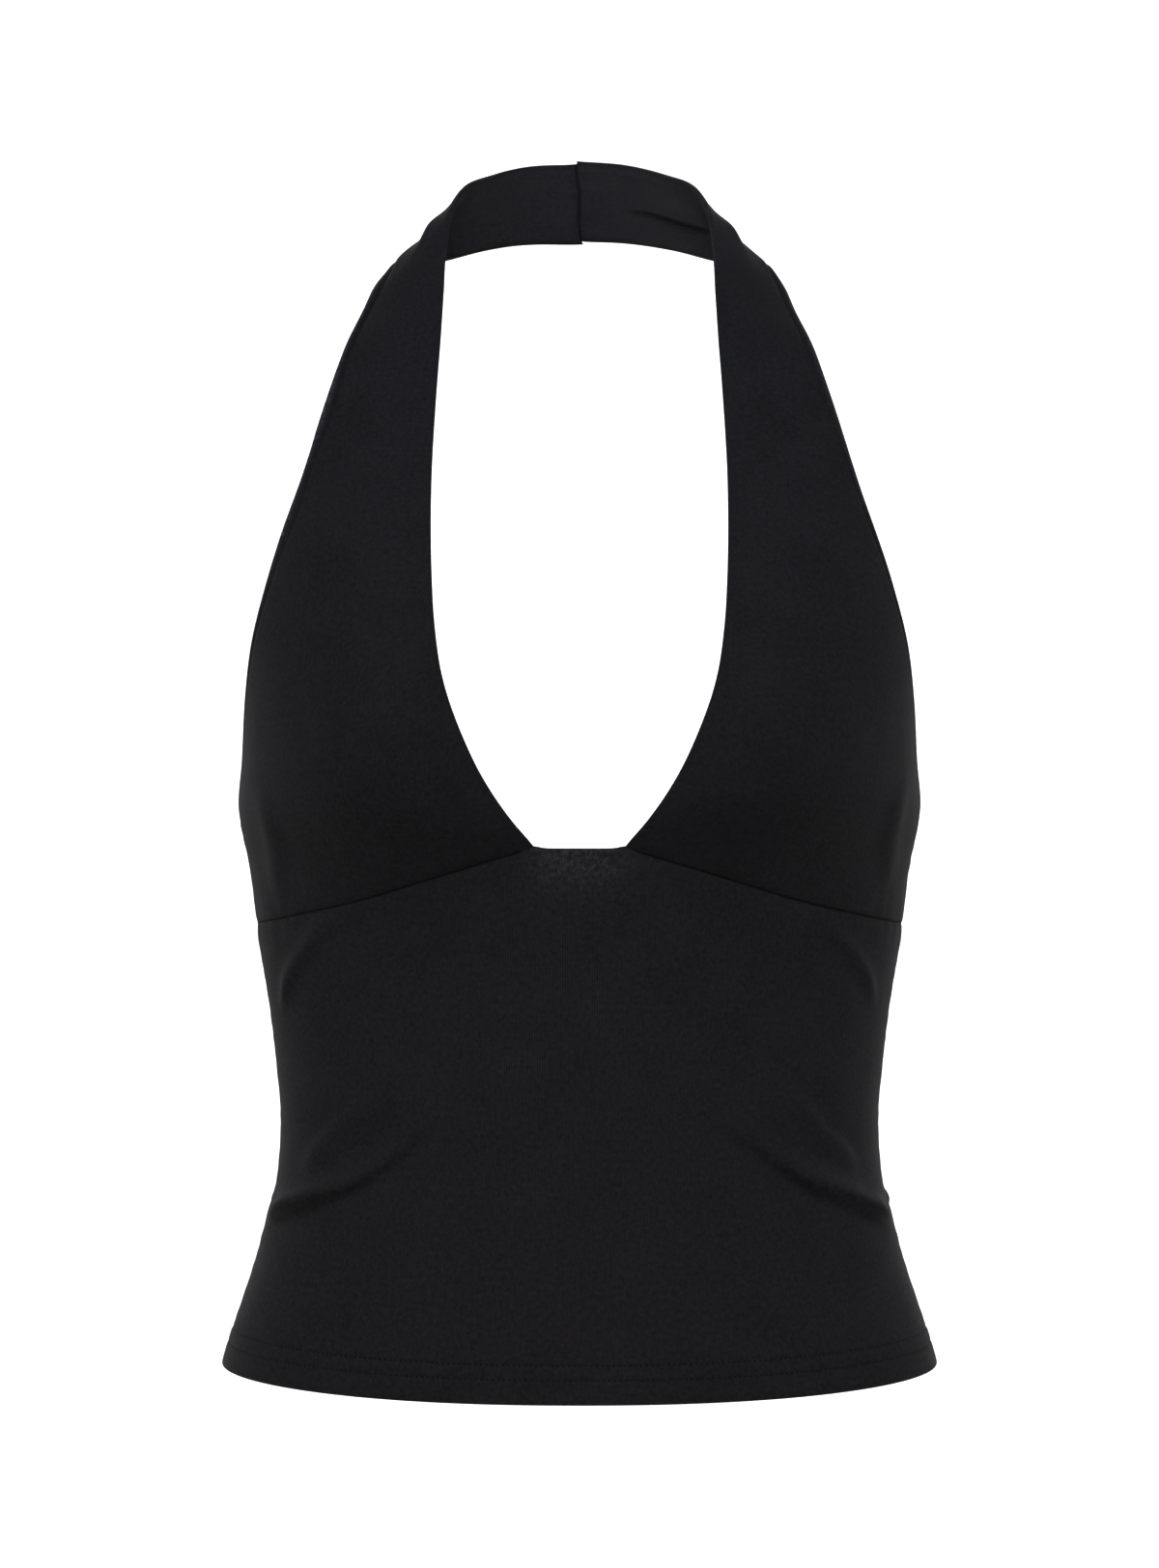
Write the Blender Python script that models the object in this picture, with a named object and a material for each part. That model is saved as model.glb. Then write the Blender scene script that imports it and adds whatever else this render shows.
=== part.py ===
"""A halter neck top in soft jersey, hollow and filled out as it is worn.

Frame: metres, +Z up. The front faces -Y and +X is on the viewer's right. The
origin is on the inner face of the neckband at the centre back, where the
wearer's neck holds the top up.

Four cut pieces make it: the lower front, the back, and two bust panels that
run on as halter straps and meet at the centre back of the neck. Each is one
closed wall of cloth lofted through sections of its outer face, and neighbours
keep SEAM_GAP between them along the seams.
"""

import math
from collections import namedtuple

import bmesh
import bpy
import numpy as np

# Cloth.
SEAM_GAP = 0.0003
BODY_WALL = 0.0014  # one layer of jersey
HEM_WALL = 0.0024  # the same turned up once
BUST_WALL = 0.0022  # two layers, sewn and turned out
HEM_TURN = 0.019  # height of the turned hem
HEM_STEP = 0.002  # height over which the turned hem thins to one layer

# The torso: rings round the vertical axis through the side seams.
SIDE_LINE_Y = -0.075
RING_EXPONENT = 2.2
ARC_RADIUS = 0.125  # turns an angle round the torso into a length of cloth

TorsoRing = namedtuple("TorsoRing", "height half_width front_depth back_depth")
TORSO = (
    TorsoRing(-0.5250, 0.1580, 0.1045, 0.1110),
    TorsoRing(-0.5108, 0.1548, 0.1035, 0.1085),
    TorsoRing(-0.4877, 0.1474, 0.1015, 0.1025),
    TorsoRing(-0.4667, 0.1405, 0.0985, 0.0950),
    TorsoRing(-0.4457, 0.1350, 0.0955, 0.0900),
    TorsoRing(-0.4352, 0.1320, 0.0940, 0.0885),
    TorsoRing(-0.4205, 0.1303, 0.0925, 0.0880),
    TorsoRing(-0.4037, 0.1299, 0.0910, 0.0895),
    TorsoRing(-0.3827, 0.1317, 0.0900, 0.0930),
    TorsoRing(-0.3512, 0.1357, 0.0890, 0.1005),
    TorsoRing(-0.3302, 0.1393, 0.0893, 0.1050),
    TorsoRing(-0.3092, 0.1418, 0.0905, 0.1085),
    TorsoRing(-0.2882, 0.1455, 0.0925, 0.1110),
    TorsoRing(-0.2726, 0.1483, 0.0935, 0.1125),
)
WAIST = TORSO[6]

# The fullness that the bust panels are cut for.
CUP_X = 0.084
CUP_HEIGHT = -0.252
CUP_FORWARD = 0.019
CUP_SPREAD = 0.038
CUP_RISE = 0.052
CUP_DROP = 0.040
CUP_FADE = 0.045  # the fullness dies away this far in front of the side line

# Edges and seams, by the angle round the torso from the centre front.
HEM_FRONT = -0.5195
HEM_SIDE = -0.5130
HEM_BACK = -0.5160
HEM_DIP_POWER = 1.5
EDGE_ANGLE = 6.1  # half the straight centre-front neckline edge

SeamPoint = namedtuple("SeamPoint", "angle height")
UNDERBUST = (
    SeamPoint(EDGE_ANGLE, -0.2886),
    SeamPoint(20.0, -0.2990),
    SeamPoint(36.5, -0.3095),
    SeamPoint(59.0, -0.3178),
    SeamPoint(90.0, -0.3225),
)
UNDERARM = -0.2726
BACK_EDGE_CENTRE = -0.3020
BACK_EDGE_POWER = 1.3

# Sections across a bust panel and its strap, on the +X side, from the
# underarm up the chest and round the neck to the centre back. Each runs from
# the neckline edge to the armhole edge. It leaves the first at neck_turn
# degrees outward of the straight line between them, and reaches the second
# turned by arm_turn.
Section = namedtuple("Section", "neck_x neck_y neck_z arm_x arm_y arm_z neck_turn arm_turn")
STRAP = (
    Section(0.0280, -0.1712, -0.2770, 0.1433, -0.0750, -0.3000, 38, 48),
    Section(0.0409, -0.1722, -0.2569, 0.1483, -0.0750, -0.2726, 50, 46),
    Section(0.0500, -0.1703, -0.2368, 0.1459, -0.0890, -0.2504, 57, 44),
    Section(0.0566, -0.1650, -0.2167, 0.1436, -0.1035, -0.2258, 52, 42),
    Section(0.0600, -0.1570, -0.1962, 0.1401, -0.1130, -0.2011, 40, 40),
    Section(0.0617, -0.1470, -0.1757, 0.1338, -0.1150, -0.1763, 29, 36),
    Section(0.0629, -0.1220, -0.1335, 0.1199, -0.1030, -0.1325, 17, 28),
    Section(0.0614, -0.0960, -0.0904, 0.1078, -0.0840, -0.0909, 12, 20),
    Section(0.0602, -0.0820, -0.0680, 0.1014, -0.0705, -0.0705, 10, 17),
    Section(0.0594, -0.0660, -0.0453, 0.0948, -0.0555, -0.0550, 10, 15),
    Section(0.0590, -0.0535, -0.0285, 0.0885, -0.0405, -0.0398, 12, 15),
    Section(0.0571, -0.0400, -0.0097, 0.0795, -0.0265, -0.0316, 16, 17),
    Section(0.0515, -0.0255, 0.0043, 0.0630, -0.0145, -0.0284, 12, 12),
    Section(0.0390, -0.0105, 0.0114, 0.0420, -0.0050, -0.0224, 7, 7),
    Section(0.0215, -0.0015, 0.0166, 0.0220, 0.0016, -0.0188, 5, 5),
    Section(0.0000, 0.0016, 0.0187, 0.0000, 0.0038, -0.0176, 4, 4),
)
SECTION_REACH = 0.36  # length of each end's tangent, of the straight line
LEFT_END_DROP = 0.0013  # the -X strap end sits this much lower at the neck seam
LEFT_DROP_RUN = 0.036
MIRROR = (-1, 1, 1)

# The largest folds, across the torso. Each is a trough with a softer ridge
# above it, between two places given by angle and height, bowed at its middle.
Fold = namedtuple("Fold", "from_angle from_height to_angle to_height bow breadth depth")
FOLDS = (
    Fold(-80, -0.4480, -29, -0.4100, -0.0040, 0.0060, 0.0032),
    Fold(76, -0.4470, 33, -0.4140, -0.0030, 0.0060, 0.0028),
    Fold(-57, -0.4250, -46, -0.4020, 0.0000, 0.0050, 0.0012),
    Fold(47, -0.4040, 60, -0.4200, 0.0000, 0.0050, 0.0012),
    Fold(-60, -0.3310, -69, -0.3580, 0.0000, 0.0050, 0.0014),
    Fold(45, -0.3280, 62, -0.3450, 0.0000, 0.0050, 0.0014),
    Fold(100, -0.4450, 146, -0.4160, -0.0040, 0.0070, 0.0028),
    Fold(258, -0.4430, 206, -0.4120, -0.0035, 0.0070, 0.0026),
    Fold(150, -0.3960, 212, -0.4010, 0.0030, 0.0085, 0.0020),
    Fold(112, -0.3560, 128, -0.3880, 0.0000, 0.0060, 0.0014),
)
FOLD_END = 0.62  # a fold ends this share of its length from its middle
FOLD_FADE = 0.30  # and dies away over this share
RIDGE_SHARE = 0.55  # the ridge's height, of the trough's depth
RIDGE_RISE = 1.9  # its distance from the trough, in breadths
RIDGE_BREADTH = 1.2

# Fineness of the grids.
FRONT_SIDE_COLUMNS = 16
FRONT_EDGE_COLUMNS = 4
BACK_COLUMNS = 30
HEM_ROWS = (0.0, 0.0055, 0.0115, 0.0170)
FRONT_ROWS = 22
BACK_ROWS = 22
PANEL_ROWS = 45
PANEL_COLUMNS = 12

BLACK_JERSEY = (0.0125, 0.0122, 0.0135, 1.0)
JERSEY_ROUGHNESS = 0.85


def clear_scene():
    for thing in list(bpy.data.objects):
        bpy.data.objects.remove(thing, do_unlink=True)


def through(knots, values, at):
    """A smooth curve through the values at rising knots, read at each place in at."""
    knots = np.asarray(knots, float)
    values = np.asarray(values, float)
    at = np.asarray(at, float)
    slopes = np.gradient(values, knots, axis=0)
    span = np.clip(np.searchsorted(knots, at) - 1, 0, len(knots) - 2)
    width = knots[span + 1] - knots[span]
    share = (at - knots[span]) / width
    while share.ndim < values[span].ndim:
        share = share[..., None]
        width = width[..., None]
    away = 1 - share
    return (
        away * away * (1 + 2 * share) * values[span]
        + share * away * away * width * slopes[span]
        + share * share * (3 - 2 * share) * values[span + 1]
        - share * share * away * width * slopes[span + 1]
    )


def ease(share):
    """0 to 1 with no corner at either end."""
    share = np.clip(share, 0.0, 1.0)
    return share * share * (3 - 2 * share)


def evenly_along(points, count):
    """The places, 0 to 1, that cut a polyline into count equal lengths."""
    steps = np.linalg.norm(np.diff(points, axis=0), axis=-1)
    along = np.concatenate([[0.0], np.cumsum(steps)])
    return np.interp(np.linspace(0, along[-1], count + 1), along, np.linspace(0, 1, len(points)))


def cup_forward(x, z):
    """How far the cut of the bust panels stands forward."""
    side = (np.abs(x) - CUP_X) / CUP_SPREAD
    rise = (z - CUP_HEIGHT) / np.where(z > CUP_HEIGHT, CUP_RISE, CUP_DROP)
    return CUP_FORWARD * np.exp(-0.5 * side * side - 0.5 * rise * rise)


def with_cups(points):
    x, y, z = np.moveaxis(points, -1, 0)
    in_front = ease((SIDE_LINE_Y - y) / CUP_FADE)
    return np.stack([x, y - cup_forward(x, z) * in_front, z], axis=-1)


def torso(angle, height):
    """Points of a torso ring, by the angle in degrees from the centre front towards +X."""
    angle, height = np.broadcast_arrays(np.radians(angle), height)
    rings = through([ring.height for ring in TORSO], [ring[1:] for ring in TORSO], height)
    half_width, front_depth, back_depth = np.moveaxis(rings, -1, 0)
    sine, cosine = np.sin(angle), np.cos(angle)
    power = 2 / RING_EXPONENT
    depth = np.where(cosine > 0, front_depth, back_depth)
    x = half_width * np.sign(sine) * np.abs(sine) ** power
    y = SIDE_LINE_Y - depth * np.sign(cosine) * np.abs(cosine) ** power
    return np.stack([x, y, height], axis=-1)


def even_angles(start, end, count, height):
    """Angles that cut a ring's stretch into equal lengths of cloth."""
    fine = np.linspace(start, end, 400)
    return start + (end - start) * evenly_along(torso(fine, height), count)


def place_on_fold(fold, angle, height):
    """Shares of the fold's length from its middle, and heights above its bowed line."""
    turned = (angle - (fold.from_angle + fold.to_angle) / 2 + 180) % 360 - 180
    across = np.radians(turned) * ARC_RADIUS
    up = height - (fold.from_height + fold.to_height) / 2
    run = math.radians(fold.to_angle - fold.from_angle) * ARC_RADIUS
    rise = fold.to_height - fold.from_height
    length = math.hypot(run, rise)
    along = (across * run + up * rise) / length**2
    above = (up * run - across * rise) / length * math.copysign(1, run)
    bowed = fold.bow * (1 - np.clip(2 * along, -1, 1) ** 2)
    return along, above - bowed


def fold_relief(angle, height):
    """How far the folds lift the outer face, negative in a trough."""
    relief = np.zeros(np.broadcast(angle, height).shape)
    for fold in FOLDS:
        along, above = place_on_fold(fold, angle, height)
        ends = ease((FOLD_END - np.abs(along)) / FOLD_FADE)
        trough = np.exp(-((above / fold.breadth) ** 2))
        ridge = np.exp(-(((above / fold.breadth - RIDGE_RISE) / RIDGE_BREADTH) ** 2))
        relief += fold.depth * ends * (RIDGE_SHARE * ridge - trough)
    return relief


def underbust_height(angle):
    """Height of the underbust seam, and of the centre-front edge between its ends."""
    seam = np.array(UNDERBUST)
    return through(seam[:, 0], seam[:, 1], np.clip(np.abs(angle), EDGE_ANGLE, 90))


def hem_height(angle):
    turn = np.cos(np.radians(angle))
    middle = np.where(turn > 0, HEM_FRONT, HEM_BACK)
    return HEM_SIDE + (middle - HEM_SIDE) * np.abs(turn) ** HEM_DIP_POWER


def back_edge_height(angle):
    dip = np.abs(np.cos(np.radians(angle))) ** BACK_EDGE_POWER
    return UNDERARM + (BACK_EDGE_CENTRE - UNDERARM) * dip


def outward(grid):
    """Unit normals of a grid whose rows rise and whose columns turn from the front towards +X."""
    up_rows = np.gradient(grid, axis=0)
    along_columns = np.gradient(grid, axis=1)
    normals = np.cross(along_columns, up_rows)
    return normals / np.linalg.norm(normals, axis=-1, keepdims=True)


def square_to_seam(normals, axis):
    """Normals along a seam's edge with nothing of the axis left, so that both walls end square."""
    normals[..., axis] = 0
    return normals / np.linalg.norm(normals, axis=-1, keepdims=True)


def wall_mesh(outer, normals, thickness):
    """A closed wall inward of a grid of outer points."""
    inner = outer - np.broadcast_to(thickness, outer.shape[:2])[..., None] * normals
    rows, columns = outer.shape[:2]
    mesh = bmesh.new()
    out = [[mesh.verts.new(point) for point in row] for row in outer]
    back = [[mesh.verts.new(point) for point in row] for row in inner]
    for i in range(rows - 1):
        for j in range(columns - 1):
            mesh.faces.new((out[i][j], out[i][j + 1], out[i + 1][j + 1], out[i + 1][j]))
            mesh.faces.new((back[i][j], back[i + 1][j], back[i + 1][j + 1], back[i][j + 1]))
    rim = [(0, j) for j in range(columns)]
    rim += [(i, columns - 1) for i in range(1, rows)]
    rim += [(rows - 1, j) for j in range(columns - 2, -1, -1)]
    rim += [(i, 0) for i in range(rows - 2, 0, -1)]
    for (i, j), (k, m) in zip(rim, rim[1:] + rim[:1]):
        mesh.faces.new((out[k][m], out[i][j], back[i][j], back[k][m]))
    bmesh.ops.recalc_face_normals(mesh, faces=mesh.faces)
    return mesh


def jersey(name):
    material = bpy.data.materials.new(name)
    material.use_nodes = True
    shader = material.node_tree.nodes["Principled BSDF"]
    shader.inputs["Base Color"].default_value = BLACK_JERSEY
    shader.inputs["Roughness"].default_value = JERSEY_ROUGHNESS
    shader.inputs["Metallic"].default_value = 0.0
    material.diffuse_color = BLACK_JERSEY
    return material


def add_piece(name, outer, normals, thickness):
    """One cut piece of cloth as its own object."""
    mesh = wall_mesh(outer, normals, thickness)
    data = bpy.data.meshes.new(name)
    mesh.to_mesh(data)
    mesh.free()
    piece = bpy.data.objects.new(name, data)
    piece.data.materials.append(jersey(name + "_cloth"))
    bpy.context.scene.collection.objects.link(piece)
    data.shade_smooth()
    data.set_sharp_from_angle(angle=math.radians(40))
    return piece


def body_heights(angles, top, rows):
    """Heights of a body panel's rows, close together over the turned hem."""
    hem = hem_height(angles)
    lines = [hem + rise for rise in HEM_ROWS]
    first = HEM_TURN
    for share in np.linspace(0, 1, rows + 1):
        lines.append(hem + first + (top - hem - first) * share)
    return np.array(lines)


def body_grid(angles, top, rows):
    """Outer face of a body panel from the hem up to its top edge, folds included."""
    heights = body_heights(angles, top, rows)
    grid = with_cups(torso(np.broadcast_to(angles, heights.shape), heights))
    relief = fold_relief(angles, heights)
    return grid + relief[..., None] * outward(grid), heights - hem_height(angles)


def add_body_panel(name, angles, top, rows):
    grid, above_hem = body_grid(angles, top, rows)
    normals = outward(grid)
    for side_seam in (0, -1):
        normals[:, side_seam] = square_to_seam(normals[:, side_seam], 1)
    return add_piece(name, grid, normals, hem_thickness(above_hem))


def hem_thickness(above_hem):
    """Cloth thickness: doubled over the turned hem."""
    single = ease((above_hem - HEM_TURN + HEM_STEP) / HEM_STEP)
    return HEM_WALL + (BODY_WALL - HEM_WALL) * single


def side_gap_angle():
    """Half the seam gap, as an angle at the side seams of the waist's ring."""
    return math.degrees((SEAM_GAP / 2 / WAIST.front_depth) ** (RING_EXPONENT / 2))


def make_front_body():
    reach = 90 - side_gap_angle()
    right = even_angles(EDGE_ANGLE, reach, FRONT_SIDE_COLUMNS, WAIST.height)
    middle = np.linspace(-EDGE_ANGLE, EDGE_ANGLE, FRONT_EDGE_COLUMNS + 1)
    angles = np.concatenate([-right[:0:-1], middle, right[1:]])
    return add_body_panel("front_body", angles, underbust_height(angles) - SEAM_GAP / 2, FRONT_ROWS)


def make_back_body():
    start = 90 + side_gap_angle()
    angles = even_angles(start, 360 - start, BACK_COLUMNS, WAIST.height)
    return add_body_panel("back_body", angles, back_edge_height(angles), BACK_ROWS)


def section_points(section, travel, shares):
    """Points at shares of a section. The strap runs along travel, which gives its outer side."""
    neck = np.array(section[0:3])
    arm = np.array(section[3:6])
    line = arm - neck
    length = np.linalg.norm(line)
    out = np.cross(line, travel)
    out = out / np.linalg.norm(out)
    reach = SECTION_REACH * length
    leave = math.radians(section.neck_turn)
    arrive = math.radians(section.arm_turn)
    first = neck + reach * (math.cos(leave) * line / length + math.sin(leave) * out)
    second = arm - reach * (math.cos(arrive) * line / length - math.sin(arrive) * out)
    t = shares[:, None]
    return (
        (1 - t) ** 3 * neck
        + 3 * t * (1 - t) ** 2 * first
        + 3 * t * t * (1 - t) * second
        + t**3 * arm
    )


def panel_sections():
    """The underbust seam, then each section of STRAP, as rows of points."""
    angles = even_angles(EDGE_ANGLE, 90 - side_gap_angle(), PANEL_COLUMNS, UNDERARM)
    seam = torso(angles, underbust_height(angles) + SEAM_GAP / 2)
    middles = [(seam[0] + seam[-1]) / 2]
    middles += [(np.array(s[0:3]) + np.array(s[3:6])) / 2 for s in STRAP]
    travels = np.gradient(np.array(middles), axis=0)
    sections = [seam]
    fine = np.linspace(0, 1, 200)
    for section, travel in zip(STRAP, travels[1:]):
        shares = evenly_along(section_points(section, travel, fine), PANEL_COLUMNS)
        sections.append(section_points(section, travel, shares))
    return np.array(sections)


def panel_grid():
    """Outer face of the +X bust panel and strap, from underbust seam to neck seam, and its normals."""
    sections = panel_sections()
    steps = np.linalg.norm(np.diff(sections, axis=0), axis=-1).mean(axis=1)
    along = np.concatenate([[0.0], np.cumsum(steps)])
    grid = through(along, sections, np.linspace(0, along[-1], PANEL_ROWS + 1))
    grid = with_cups(grid)
    grid[-1, :, 0] = SEAM_GAP / 2
    on_side_seam = grid[:, -1, 2] <= UNDERARM
    grid[on_side_seam, -1, 1] = SIDE_LINE_Y - SEAM_GAP / 2
    normals = outward(grid)
    normals[-1] = square_to_seam(normals[-1], 0)
    normals[on_side_seam, -1] = square_to_seam(normals[on_side_seam, -1], 1)
    return grid, normals


def make_bust_panel(name, side):
    """side is 1 for the panel at +X and -1 for its mirror at -X."""
    grid, normals = panel_grid()
    if side < 0:
        on_neck = grid[..., 2] > CUP_HEIGHT / 2
        near_end = ease(1 - grid[..., 0] / LEFT_DROP_RUN) * on_neck
        grid[..., 2] -= LEFT_END_DROP * near_end
        grid, normals = grid[:, ::-1] * MIRROR, normals[:, ::-1] * MIRROR
    return add_piece(name, grid, normals, BUST_WALL)


def main():
    clear_scene()
    make_front_body()
    make_back_body()
    make_bust_panel("bust_panel_right", 1)
    make_bust_panel("bust_panel_left", -1)


main()
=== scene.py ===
"""A halter neck top in soft black jersey, hollow and filled out as it is worn.

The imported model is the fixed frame. Each of its four cut pieces is dressed as
one thin closed sheet of cloth on the form of its solid, with turned edges, sewn
edges that roll into their seams, and the creases of wear. The sewing is laid on
and inside the cloth: the coverstitched hem and back edge, and the overlocked
seam allowances.
"""

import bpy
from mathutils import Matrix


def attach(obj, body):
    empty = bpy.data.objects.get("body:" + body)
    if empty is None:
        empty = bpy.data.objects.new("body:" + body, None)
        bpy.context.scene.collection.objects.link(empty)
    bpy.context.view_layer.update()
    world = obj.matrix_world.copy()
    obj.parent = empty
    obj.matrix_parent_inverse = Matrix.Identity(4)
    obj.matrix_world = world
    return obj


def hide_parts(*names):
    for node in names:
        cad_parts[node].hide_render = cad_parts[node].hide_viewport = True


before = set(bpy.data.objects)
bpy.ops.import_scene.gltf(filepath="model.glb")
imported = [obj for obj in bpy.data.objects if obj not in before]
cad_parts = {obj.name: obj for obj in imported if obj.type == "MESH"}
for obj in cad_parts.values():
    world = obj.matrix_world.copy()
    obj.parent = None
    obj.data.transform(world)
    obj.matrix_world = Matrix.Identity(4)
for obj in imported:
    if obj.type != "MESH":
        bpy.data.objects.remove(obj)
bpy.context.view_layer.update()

import math
from collections import namedtuple

import bpy
import numpy as np


def table(kind, *rows):
    """Rows of numbers, each as the kind that names them."""
    return tuple(kind(*row) for row in rows)


# ---- Sizes of the cloth, in metres, as its solids have them ----

SEAM_LAP = 0.00006  # sewn edges press this far into each other
BODY_WALL = 0.0014
HEM_WALL = 0.0024
BUST_WALL = 0.0022
HEM_TURN = 0.019
HEM_STEP = 0.002

SIDE_LINE_Y = -0.075
RING_EXPONENT = 2.2
ARC_RADIUS = 0.125  # turns an angle round the torso into a length of cloth
CLOTH_TO_WAIST = 1.08  # cloth round the torso, on the average of its heights, against the waist's

TorsoRing = namedtuple("TorsoRing", "height half_width front_depth back_depth")
TORSO = table(
    TorsoRing,
    (-0.5250, 0.1580, 0.1045, 0.1110),
    (-0.5108, 0.1548, 0.1035, 0.1085),
    (-0.4877, 0.1474, 0.1015, 0.1025),
    (-0.4667, 0.1405, 0.0985, 0.0950),
    (-0.4457, 0.1350, 0.0955, 0.0900),
    (-0.4352, 0.1320, 0.0940, 0.0885),
    (-0.4205, 0.1303, 0.0925, 0.0880),
    (-0.4037, 0.1299, 0.0910, 0.0895),
    (-0.3827, 0.1317, 0.0900, 0.0930),
    (-0.3512, 0.1357, 0.0890, 0.1005),
    (-0.3302, 0.1393, 0.0893, 0.1050),
    (-0.3092, 0.1418, 0.0905, 0.1085),
    (-0.2882, 0.1455, 0.0925, 0.1110),
    (-0.2726, 0.1483, 0.0935, 0.1125),
)
WAIST = TORSO[6]

CUP_X = 0.084
CUP_HEIGHT = -0.252
CUP_FORWARD = 0.019
CUP_SPREAD = 0.038
CUP_RISE = 0.052
CUP_DROP = 0.040
CUP_FADE = 0.045

HEM_FRONT = -0.5195
HEM_SIDE = -0.5130
HEM_BACK = -0.5160
HEM_DIP_POWER = 1.5
EDGE_ANGLE = 6.1

SeamPoint = namedtuple("SeamPoint", "angle height")
UNDERBUST = table(
    SeamPoint,
    (EDGE_ANGLE, -0.2886),
    (20.0, -0.2990),
    (36.5, -0.3095),
    (59.0, -0.3178),
    (90.0, -0.3225),
)
UNDERARM = -0.2726
BACK_EDGE_CENTRE = -0.3020
BACK_EDGE_POWER = 1.3
CORNER_RISE = 0.0009  # the neckline's lower corners are rounded by this much
CORNER_SPREAD = 1.1  # over this many degrees

Section = namedtuple("Section", "neck_x neck_y neck_z arm_x arm_y arm_z neck_turn arm_turn")
STRAP = table(
    Section,
    (0.0280, -0.1712, -0.2770, 0.1433, -0.0750, -0.3000, 38, 48),
    (0.0409, -0.1722, -0.2569, 0.1483, -0.0750, -0.2726, 50, 46),
    (0.0500, -0.1703, -0.2368, 0.1459, -0.0890, -0.2504, 57, 44),
    (0.0566, -0.1650, -0.2167, 0.1436, -0.1035, -0.2258, 52, 42),
    (0.0600, -0.1570, -0.1962, 0.1401, -0.1130, -0.2011, 40, 40),
    (0.0617, -0.1470, -0.1757, 0.1338, -0.1150, -0.1763, 29, 36),
    (0.0629, -0.1220, -0.1335, 0.1199, -0.1030, -0.1325, 17, 28),
    (0.0614, -0.0960, -0.0904, 0.1078, -0.0840, -0.0909, 12, 20),
    (0.0602, -0.0820, -0.0680, 0.1014, -0.0705, -0.0705, 10, 17),
    (0.0594, -0.0660, -0.0453, 0.0948, -0.0555, -0.0550, 10, 15),
    (0.0590, -0.0535, -0.0285, 0.0885, -0.0405, -0.0398, 12, 15),
    (0.0571, -0.0400, -0.0097, 0.0795, -0.0265, -0.0316, 16, 17),
    (0.0515, -0.0255, 0.0043, 0.0630, -0.0145, -0.0284, 12, 12),
    (0.0390, -0.0105, 0.0114, 0.0420, -0.0050, -0.0224, 7, 7),
    (0.0215, -0.0015, 0.0166, 0.0220, 0.0016, -0.0188, 5, 5),
    (0.0000, 0.0016, 0.0187, 0.0000, 0.0038, -0.0176, 4, 4),
)
SECTION_REACH = 0.36
LEFT_END_DROP = 0.0013
LEFT_DROP_RUN = 0.036

# ---- Folds of wear ----

# Each is a soft ridge along its places, or a trough where its height is below 0.
# Its left flank, as it runs, spreads by over and its right flank by under. It
# rises over a first share of its length and dies away over a last one. On the
# torso its places are an angle and a height; on a bust panel they are a distance
# from the neckline edge and one up from the seam.
Fold = namedtuple("Fold", "places height under over first last", defaults=(0.30, 0.30))
BODY_FOLDS = (
    # front, left of view: two that run up from the side of the waist, one below the seam
    Fold(
        ((-82, -0.451), (-72, -0.4452), (-65, -0.442), (-54, -0.4362), (-45, -0.4305), (-38, -0.4228),
         (-30, -0.41), (-23, -0.395), (-18, -0.38)),
        0.006, 0.0027, 0.0068, 0.22, 0.7,
    ),
    Fold(
        ((-66, -0.428), (-60, -0.421), (-50, -0.4075), (-41.5, -0.396), (-36, -0.386)),
        0.0018, 0.008, 0.005,
    ),
    Fold(
        ((-72, -0.361), (-66, -0.3495), (-61, -0.341), (-55, -0.3325), (-49.5, -0.324), (-42, -0.3175)),
        0.0024, 0.0038, 0.0054,
    ),
    # front, right of view
    Fold(
        ((18, -0.394), (23, -0.4015), (31, -0.4105), (38, -0.4205), (45, -0.429), (54, -0.4352),
         (65, -0.443), (72, -0.4462), (81, -0.45)),
        0.006, 0.0026, 0.0076, 0.55, 0.22,
    ),
    Fold(
        ((36, -0.385), (40, -0.3925), (45.5, -0.4), (50, -0.4085), (55, -0.415), (60.5, -0.421),
         (66, -0.4275)),
        0.0022, 0.0078, 0.004,
    ),
    Fold(
        ((41, -0.318), (50.5, -0.328), (57, -0.3365), (63, -0.3455), (70, -0.359)),
        0.0018, 0.0041, 0.0042,
    ),
    # back, from the +X side to the -X side
    Fold(
        ((95, -0.447), (108, -0.442), (122, -0.435), (136, -0.424), (148, -0.411)),
        0.005, 0.003, 0.008, 0.15, 0.7,
    ),
    Fold(((118, -0.4245), (128, -0.412), (137, -0.4), (143, -0.389)), 0.0022, 0.0046, 0.006),
    Fold(((97, -0.295), (106, -0.308), (118, -0.321), (131, -0.329)), 0.0016, 0.0038, 0.005),
    Fold(
        ((150, -0.3985), (166, -0.3945), (184, -0.3935), (203, -0.3975), (214, -0.402)),
        0.0032, 0.0046, 0.008, 0.35, 0.45,
    ),
    Fold(((163, -0.379), (182, -0.3765), (198, -0.3785)), 0.0017, 0.0045, 0.006),
    Fold(
        ((212, -0.413), (224, -0.425), (238, -0.435), (252, -0.442), (264, -0.447)),
        0.0047, 0.0031, 0.0076, 0.6, 0.15,
    ),
    Fold(((222, -0.39), (230, -0.403), (240, -0.415)), 0.0019, 0.0044, 0.0056),
    Fold(((228, -0.333), (243, -0.322), (256, -0.305)), 0.0014, 0.0038, 0.005),
)
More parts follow.
